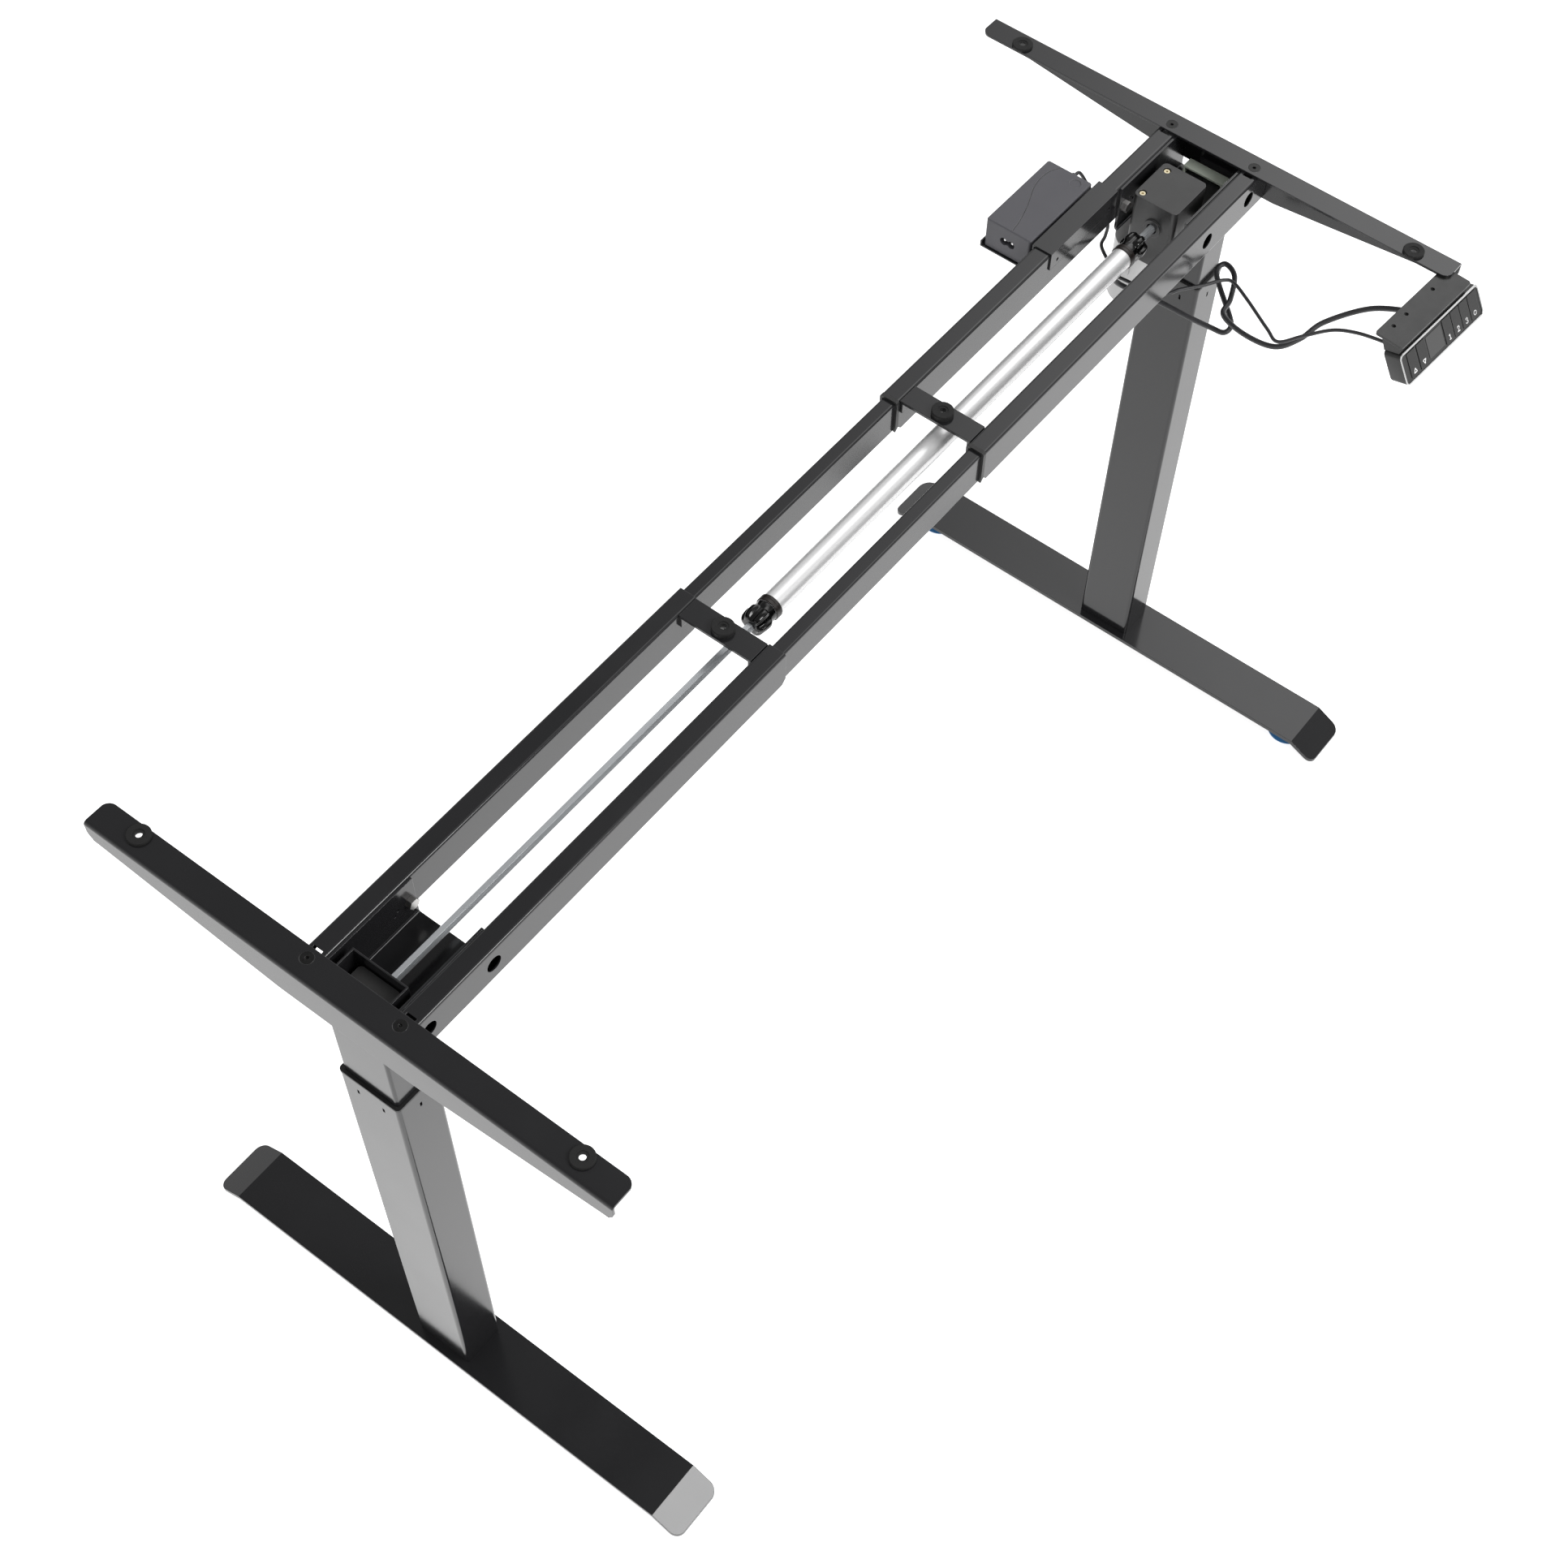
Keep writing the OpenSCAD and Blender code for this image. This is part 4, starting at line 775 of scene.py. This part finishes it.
class DESK_OT_handset(bpy.types.Operator):
    """Mould the handset with its key pockets, bright rim, display and key signs"""

    bl_idname = "desk.handset"
    bl_label = "Handset"

    def execute(self, context):
        r = context.scene.desk_handset.corner * 1000
        depth = context.scene.desk_handset.depth * 1000
        parts = self.case(r, depth) + self.neck_and_plate(depth) + self.boots()
        case = mesh_piece("handset_shell", *joined(parts), "motor_end", "handset_plastic",
                          "handset_plastic")
        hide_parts("handset_case")
        self.rim(r)
        self.window()
        self.signs()
        return {"FINISHED"}

    def case(self, r, depth):
        """The case: its rounded sides, its rear, and its face with a pocket for each key."""
        outlines = [face_outline(i, i, r - i) for i in (0.0, *(i for i, _ in REAR_ROUND))]
        depths = [0.0, *(depth - before for _, before in REAR_ROUND)]
        low, high = KEY_LIP, FACE_H - KEY_LIP
        pockets = []
        for share in KEYS.values():
            left = share * HAND_LEN - KEY_W / 2
            right = left + KEY_W + KEY_GAP
            left -= KEY_GAP
            pockets.append(np.array([(left, low), (right, low), (right, high), (left, high)]))
        parts = [on_face(ringed(outlines, depths), False),
                 on_face(plate(outlines[-1], (), depth), False),
                 on_face(plate(outlines[0], pockets))]
        return parts + [on_face(pocket(p, 0.0, POCKET_FLOOR)) for p in pockets]

    def neck_and_plate(self, depth):
        """The neck behind the face, and the mounting plate with its three blind holes."""
        top = np.array(FACE_LOW) + FACE_H * np.array(FACE_UP)
        back = depth * np.array(REARWARD)
        section = np.array([top + NECK_SHARE * back, top + back,
                            (back[0] + NECK_REACH[1], NECK_TOP), (NECK_REACH[0], NECK_TOP)])
        neck = placed(slab(section, *NECK_SPAN), ALONG_X)
        holes = [round_hole(x, y, PLATE_HOLE_R, 20) for x, y in PLATE_HOLES]
        sheet = round_outline(*PLATE_EDGES, PLATE_CORNER)
        parts = [neck, plate(sheet, holes, PLATE_THICK), plate(sheet, (), 0.0, flip=True),
                 wall(sheet, 0.0, PLATE_THICK)]
        parts += [pocket(hole, PLATE_THICK, 0.1) for hole in holes]
        return [on_handset(part) for part in parts]

    def boots(self):
        """The boots at the rear where the two leads leave the case: each is a plain collar and
        ribs that grow smaller towards its end."""
        parts = []
        for share, size in LEAD_BOOTS:
            ribs = [(0.0, 0.0), (0.0, size + 0.6), (COLLAR_LEN, size + 0.6)]
            for k in range(RIBS):
                x = COLLAR_LEN + 0.6 + RIB_PITCH * k
                low = size - 0.25 * k
                ribs += [(x, low - 0.7), (x + 0.9, low - 0.7), (x + 1.2, low), (x + 2.2, low)]
            ribs += [(BOOT_LEN, size - 1.2), (BOOT_LEN, 0.0)]
            boot = (lathe(ribs, BOOT_COLUMNS), tube_faces(len(ribs), BOOT_COLUMNS))
            rearward = [(0, 1, 0), (1, 0, 0), (0, 0, 1)]
            start = (share * HAND_LEN, 0, BOOT_START)
            parts.append(on_handset(placed(boot, rearward, start)))
        return parts

    def rim(self, r):
        """The bright rim: a band on the face's edge, wider along the top, with sloping sides."""
        loops = [face_outline(side, upper, r - side) for side, upper, _ in RIM_BANDS]
        verts, faces = on_face(ringed(loops, [height for _, _, height in RIM_BANDS]))
        rim = mesh_piece("rim_skin", verts, faces, "motor_end", "silver_rim", "silver_rim")
        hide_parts("handset_rim")

    def window(self):
        """The dark window of the display."""
        glass = on_face(slab(round_outline(*WINDOW), *WINDOW_HEIGHTS))
        mesh_piece("display_window", *glass, "motor_end", "handset_plastic", "display_glass")

    def signs(self):
        """The printed sign of each key: two triangles, three figures and a plain ring."""
        lines = {
            "key_one": [[(-0.9, 1.35), (0.1, 2.1), (0.1, -2.1)], [(-0.9, -2.1), (1.1, -2.1)]],
            "key_two": [[(-1.3, 1.2), (-0.9, 1.9), (0.0, 2.15), (0.95, 1.9), (1.3, 1.1), (0.9, 0.3),
                         (-1.35, -2.1), (1.4, -2.1)]],
            "key_three": [[(-1.2, 1.5), (-0.6, 2.05), (0.3, 2.15), (1.05, 1.7), (1.1, 0.85),
                           (0.5, 0.2), (-0.3, 0.1)],
                          [(-0.3, 0.1), (0.7, 0.0), (1.3, -0.7), (1.15, -1.6), (0.4, -2.15),
                           (-0.6, -2.1), (-1.3, -1.5)]],
            "key_store": [round_hole(0.0, 0.0, 1.7, 17)[[*range(17), 0]]],
            "key_up": [[(-1.9, -1.6), (1.9, -1.6), (0.0, 1.9), (-1.9, -1.6)]],
            "key_down": [[(-1.9, 1.6), (0.0, -1.9), (1.9, 1.6), (-1.9, 1.6)]],
        }
        for key, strokes in lines.items():
            parts = []
            for stroke in strokes:
                p = np.array(stroke) * SIGN_SCALE + (KEYS[key] * HAND_LEN, KEY_LIP + SIGN_RISE)
                for a, b in zip(p[:-1], p[1:]):
                    way = (b - a) / np.linalg.norm(b - a) * SIGN_OVERLAP
                    parts.append(slab(ribbon([a - way, b + way], SIGN_LINE), *SIGN_HEIGHTS))
            verts, faces = on_face(joined(parts))
            mesh_piece(f"sign_{key}", verts, faces, f"{key}_button", "key_plastic", "mark_paint",
                       smooth=False)


class DESK_OT_supply(bpy.types.Operator):
    """Mould the power supply with its groove, recess and socket"""

    bl_idname = "desk.supply"
    bl_label = "Power supply"

    def execute(self, context):
        length, width, high = SUPPLY_SIZE
        edge = context.scene.desk_supply.edge * 1000
        turn = np.linspace(0, np.pi / 2, 5)
        insets = [SUPPLY_FOOT, 0.0] + list(edge * (1 - np.cos(turn)))
        heights = [0.0, SUPPLY_FOOT] + list(high - edge + edge * np.sin(turn))
        outlines = [round_outline(i, i, length - i, width - i, SUPPLY_CORNER - i) for i in insets]
        verts, faces = ringed(outlines, heights)
        # The flat at the socket's end between the rounded corners is left to the front's own plate
        n = len(outlines[0])
        faces = [f for f in faces if f[0] != n + n // 4 * 3 - 1]
        groove = ribbon(smooth_path(SUPPLY_GROOVE, 6), GROOVE_WIDTH)
        dish = round_hole(*DISH_PLACE, DISH_R)
        parts = [(verts, faces), plate(outlines[-1], [groove, dish], high),
                 plate(outlines[0], (), 0.0, flip=True), pocket(groove, high, high - GROOVE_DEPTH),
                 pocket(dish, high, high - DISH_DEPTH)]
        socket = self.socket()
        left, right, low, top = SUPPLY_CORNER, width - SUPPLY_CORNER, SUPPLY_FOOT, high - edge
        front = joined([plate([(left, low), (right, low), (right, top), (left, top)], [socket]),
                        pocket(socket, 0.0, -SOCKET_DEPTH)])
        parts.append(placed(front, [(0, 1, 0), (0, 0, 1), (-1, 0, 0)]))
        boot = (lathe(SUPPLY_BOOT, BOOT_COLUMNS), tube_faces(len(SUPPLY_BOOT), BOOT_COLUMNS))
        parts.append(placed(boot, np.eye(3), (length, width / 2, high * BOOT_RISE)))
        verts, faces = placed(joined(parts), np.eye(3) / 1000, np.array(SUPPLY_PLACE) / 1000)
        case = mesh_piece("supply_shell", verts, faces, "motor_end", "supply_case",
                          "supply_case")
        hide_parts("power_supply")
        return {"FINISHED"}

    def socket(self):
        """The waisted outline of the mains socket: two circles that open into each other."""
        middle = np.array((SUPPLY_SIZE[1] / 2, SUPPLY_SIZE[2] / 2))
        a = np.linspace(math.radians(40), math.radians(320), 22)
        left = np.stack([SOCKET_R * np.cos(a) - SOCKET_REACH, SOCKET_R * np.sin(a)], 1)
        return np.concatenate([left, -left]) + middle


class DESK_OT_strap(bpy.types.Operator):
    """Fold the plated strap that bridges the arm of the motor gearbox"""

    bl_idname = "desk.strap"
    bl_label = "Gearbox strap"

    def execute(self, context):
        low, high, half, sheet = 678.6, 700.0, 23.0, 2.0
        near, far = 603.5, 616.5
        section = np.array([
            (-half, low), (sheet - half, low), (sheet - half, high - sheet),
            (half - sheet, high - sheet), (half - sheet, low), (half, low), (half, high),
            (-half, high),
        ])
        part = placed(slab(section, near, far), ALONG_X)
        verts, faces = placed(part, np.eye(3) / 1000)
        # Its finish carries painted light: a plating colour raised so that the strap reads brightly
        # lit in the bracket's shadow
        mesh_piece("gearbox_strap", verts, faces, "motor_end", "zinc", "strap_zinc_and_painted_light")
        return {"FINISHED"}


class DESK_OT_stage(bpy.types.Operator):
    """Set the floor, the light and the camera"""

    bl_idname = "desk.stage"
    bl_label = "Stage"

    def execute(self, context):
        scene = context.scene
        scene.view_settings.view_transform = "Standard"
        mesh = bpy.data.meshes.new("floor")
        corners = [(-1, -1, 0), (1, -1, 0), (1, 1, 0), (-1, 1, 0)]
        mesh.from_pydata((np.array(corners) * FLOOR_HALF).tolist(), [], [(0, 1, 2, 3)])
        floor = bpy.data.objects.new("floor", mesh)
        scene.collection.objects.link(floor)
        mesh.materials.append(pale_floor())
        studio(scene)
        lamp("main_lamp", LAMP_PLACE, LAMP_TARGET, LAMP_SIZE, scene.desk_stage.lamp)
        camera()
        return {"FINISHED"}


def studio(scene):
    """The room's light: even for diffuse surfaces and white for the camera. In reflections it falls
    from 1 at the horizon towards the zenith, plus a soft bright patch: a power of how close the
    ray runs to the patch's own direction, up and to the motor end."""
    world = bpy.data.worlds.new("studio")
    scene.world = world
    world.use_nodes = True
    tree = world.node_tree
    even = tree.nodes["Background"]
    set_inputs(even, Color=(1, 1, 1, 1), Strength=ROOM_LIGHT)
    white = add_node(tree, "ShaderNodeBackground", Color=(1, 1, 1, 1))
    domed = add_node(tree, "ShaderNodeBackground", Color=(1, 1, 1, 1))
    place = add_node(tree, "ShaderNodeTexCoord")
    split = add_node(tree, "ShaderNodeSeparateXYZ")
    ramp = add_node(tree, "ShaderNodeMapRange", From_Min=0.1, From_Max=0.75, To_Min=1.0,
                    To_Max=0.27)
    ramp.interpolation_type = "SMOOTHSTEP"
    near = add_node(tree, "ShaderNodeVectorMath", "DOT_PRODUCT")
    near.inputs[1].default_value = PATCH_WAY
    patch = add_node(tree, "ShaderNodeMapRange", From_Min=0.85, From_Max=0.965)
    power = add_node(tree, "ShaderNodeMath", "POWER")
    power.inputs[1].default_value = PATCH_POWER
    total = add_node(tree, "ShaderNodeMath", "MULTIPLY_ADD")
    total.inputs[1].default_value = PATCH_LIGHT
    path = add_node(tree, "ShaderNodeLightPath")
    first = add_node(tree, "ShaderNodeMixShader")
    second = add_node(tree, "ShaderNodeMixShader")
    wire(tree, (place, "Generated", split, 0), (split, "Z", ramp, "Value"),
         (place, "Generated", near, 0), (near, "Value", patch, "Value"),
         (patch, "Result", power, 0), (power, 0, total, 0), (ramp, "Result", total, 2),
         (total, 0, domed, "Strength"), (path, "Is Glossy Ray", first, 0), (even, 0, first, 1),
         (domed, 0, first, 2), (path, "Is Camera Ray", second, 0), (first, 0, second, 1),
         (white, 0, second, 2), (second, 0, tree.nodes["World Output"], "Surface"))


def pale_floor():
    """A near white floor that keeps the shadow: a diffuse surface with a little light of its own
    towards the camera and in reflections."""
    material = bpy.data.materials.new("pale_floor")
    material.use_nodes = True
    tree = material.node_tree
    shader = tree.nodes["Principled BSDF"]
    set_inputs(shader, Base_Color=(0.88, 0.88, 0.88, 1), Roughness=0.9, Specular_IOR_Level=0.0)
    glow = add_node(tree, "ShaderNodeEmission")
    path = add_node(tree, "ShaderNodeLightPath")
    either = add_node(tree, "ShaderNodeMath", "MAXIMUM")
    level = add_node(tree, "ShaderNodeMath", "MULTIPLY")
    level.inputs[1].default_value = FLOOR_LIGHT
    both = add_node(tree, "ShaderNodeAddShader")
    wire(tree, (path, "Is Camera Ray", either, 0), (path, "Is Glossy Ray", either, 1),
         (either, 0, level, 0), (level, 0, glow, "Strength"), (shader, 0, both, 0),
         (glow, 0, both, 1), (both, 0, tree.nodes["Material Output"], "Surface"))
    return material


def lamp(name, place, target, size, power):
    """A square soft lamp that points at a target."""
    data = bpy.data.lights.new(name, "AREA")
    data.shape = "SQUARE"
    data.size = size
    data.energy = power
    item = bpy.data.objects.new(name, data)
    turn = (Vector(target) - Vector(place)).to_track_quat("-Z", "Y").to_matrix().to_4x4()
    item.matrix_world = Matrix.Translation(place) @ turn
    bpy.context.scene.collection.objects.link(item)


def camera():
    """The camera of the photograph: its place, two angles, roll, focal length and shift."""
    azimuth, elevation, roll = (math.radians(v) for v in CAMERA_ANGLES)
    back = Vector((math.sin(azimuth) * math.cos(elevation),
                   -math.cos(azimuth) * math.cos(elevation), math.sin(elevation)))
    right = Vector((math.cos(azimuth), math.sin(azimuth), 0))
    up = back.cross(right)
    x = right * math.cos(roll) + up * math.sin(roll)
    y = up * math.cos(roll) - right * math.sin(roll)
    turn = Matrix((x, y, back)).transposed().to_4x4()
    data = bpy.data.cameras.new("camera")
    data.sensor_width = SENSOR
    data.lens = FOCAL * SENSOR / PICTURE
    data.shift_x = (PICTURE / 2 - OPTICAL_CENTRE[0]) / PICTURE
    data.shift_y = (OPTICAL_CENTRE[1] - PICTURE / 2) / PICTURE
    data.clip_start = 0.05
    data.clip_end = 100.0
    item = bpy.data.objects.new("camera", data)
    item.matrix_world = Matrix.Translation(CAMERA_PLACE) @ turn
    bpy.context.scene.collection.objects.link(item)
    bpy.context.scene.camera = item


class DESK_PT_sidebar(bpy.types.Panel):
    """Settings of the desk frame"""

    bl_idname = "DESK_PT_sidebar"
    bl_label = "Desk Frame"
    bl_space_type = "VIEW_3D"
    bl_region_type = "UI"
    bl_category = "Desk Frame"

    def draw(self, context):
        for label, names in PROPERTIES.items():
            group = getattr(context.scene, label)
            column = self.layout.column(align=True)
            for name in names:
                column.prop(group, name)
        for operator in OPERATORS:
            self.layout.operator(operator.bl_idname)


PROPERTIES = {
    "desk_finish": ("coat_colour", "glide_colour", "lead_colour"),
    "desk_lead": ("motor_lead", "supply_lead"),
    "desk_knob": ("radius", "lobe", "tube"),
    "desk_handset": ("corner", "depth"),
    "desk_supply": ("edge",),
    "desk_stage": ("lamp",),
}
GROUPS = {
    "desk_finish": FinishSettings,
    "desk_lead": LeadSettings,
    "desk_knob": KnobSettings,
    "desk_handset": HandsetSettings,
    "desk_supply": SupplySettings,
    "desk_stage": StageSettings,
}
OPERATORS = (
    DESK_OT_finishes, DESK_OT_stage, DESK_OT_leads, DESK_OT_knobs, DESK_OT_shaft, DESK_OT_handset,
    DESK_OT_supply, DESK_OT_strap,
)


def register():
    for item in (*GROUPS.values(), *OPERATORS, DESK_PT_sidebar):
        bpy.utils.register_class(item)
    for name, group in GROUPS.items():
        setattr(bpy.types.Scene, name, PointerProperty(type=group))


def unregister():
    for name in GROUPS:
        delattr(bpy.types.Scene, name)
    for item in (DESK_PT_sidebar, *reversed(OPERATORS), *reversed(list(GROUPS.values()))):
        bpy.utils.unregister_class(item)


def main():
    """Register the add-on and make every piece."""
    register()
    bpy.ops.desk.finishes()
    bpy.ops.desk.stage()
    bpy.ops.desk.leads()
    bpy.ops.desk.knobs()
    bpy.ops.desk.shaft()
    bpy.ops.desk.handset()
    bpy.ops.desk.supply()
    bpy.ops.desk.strap()


if __name__ == "__main__":
    main()
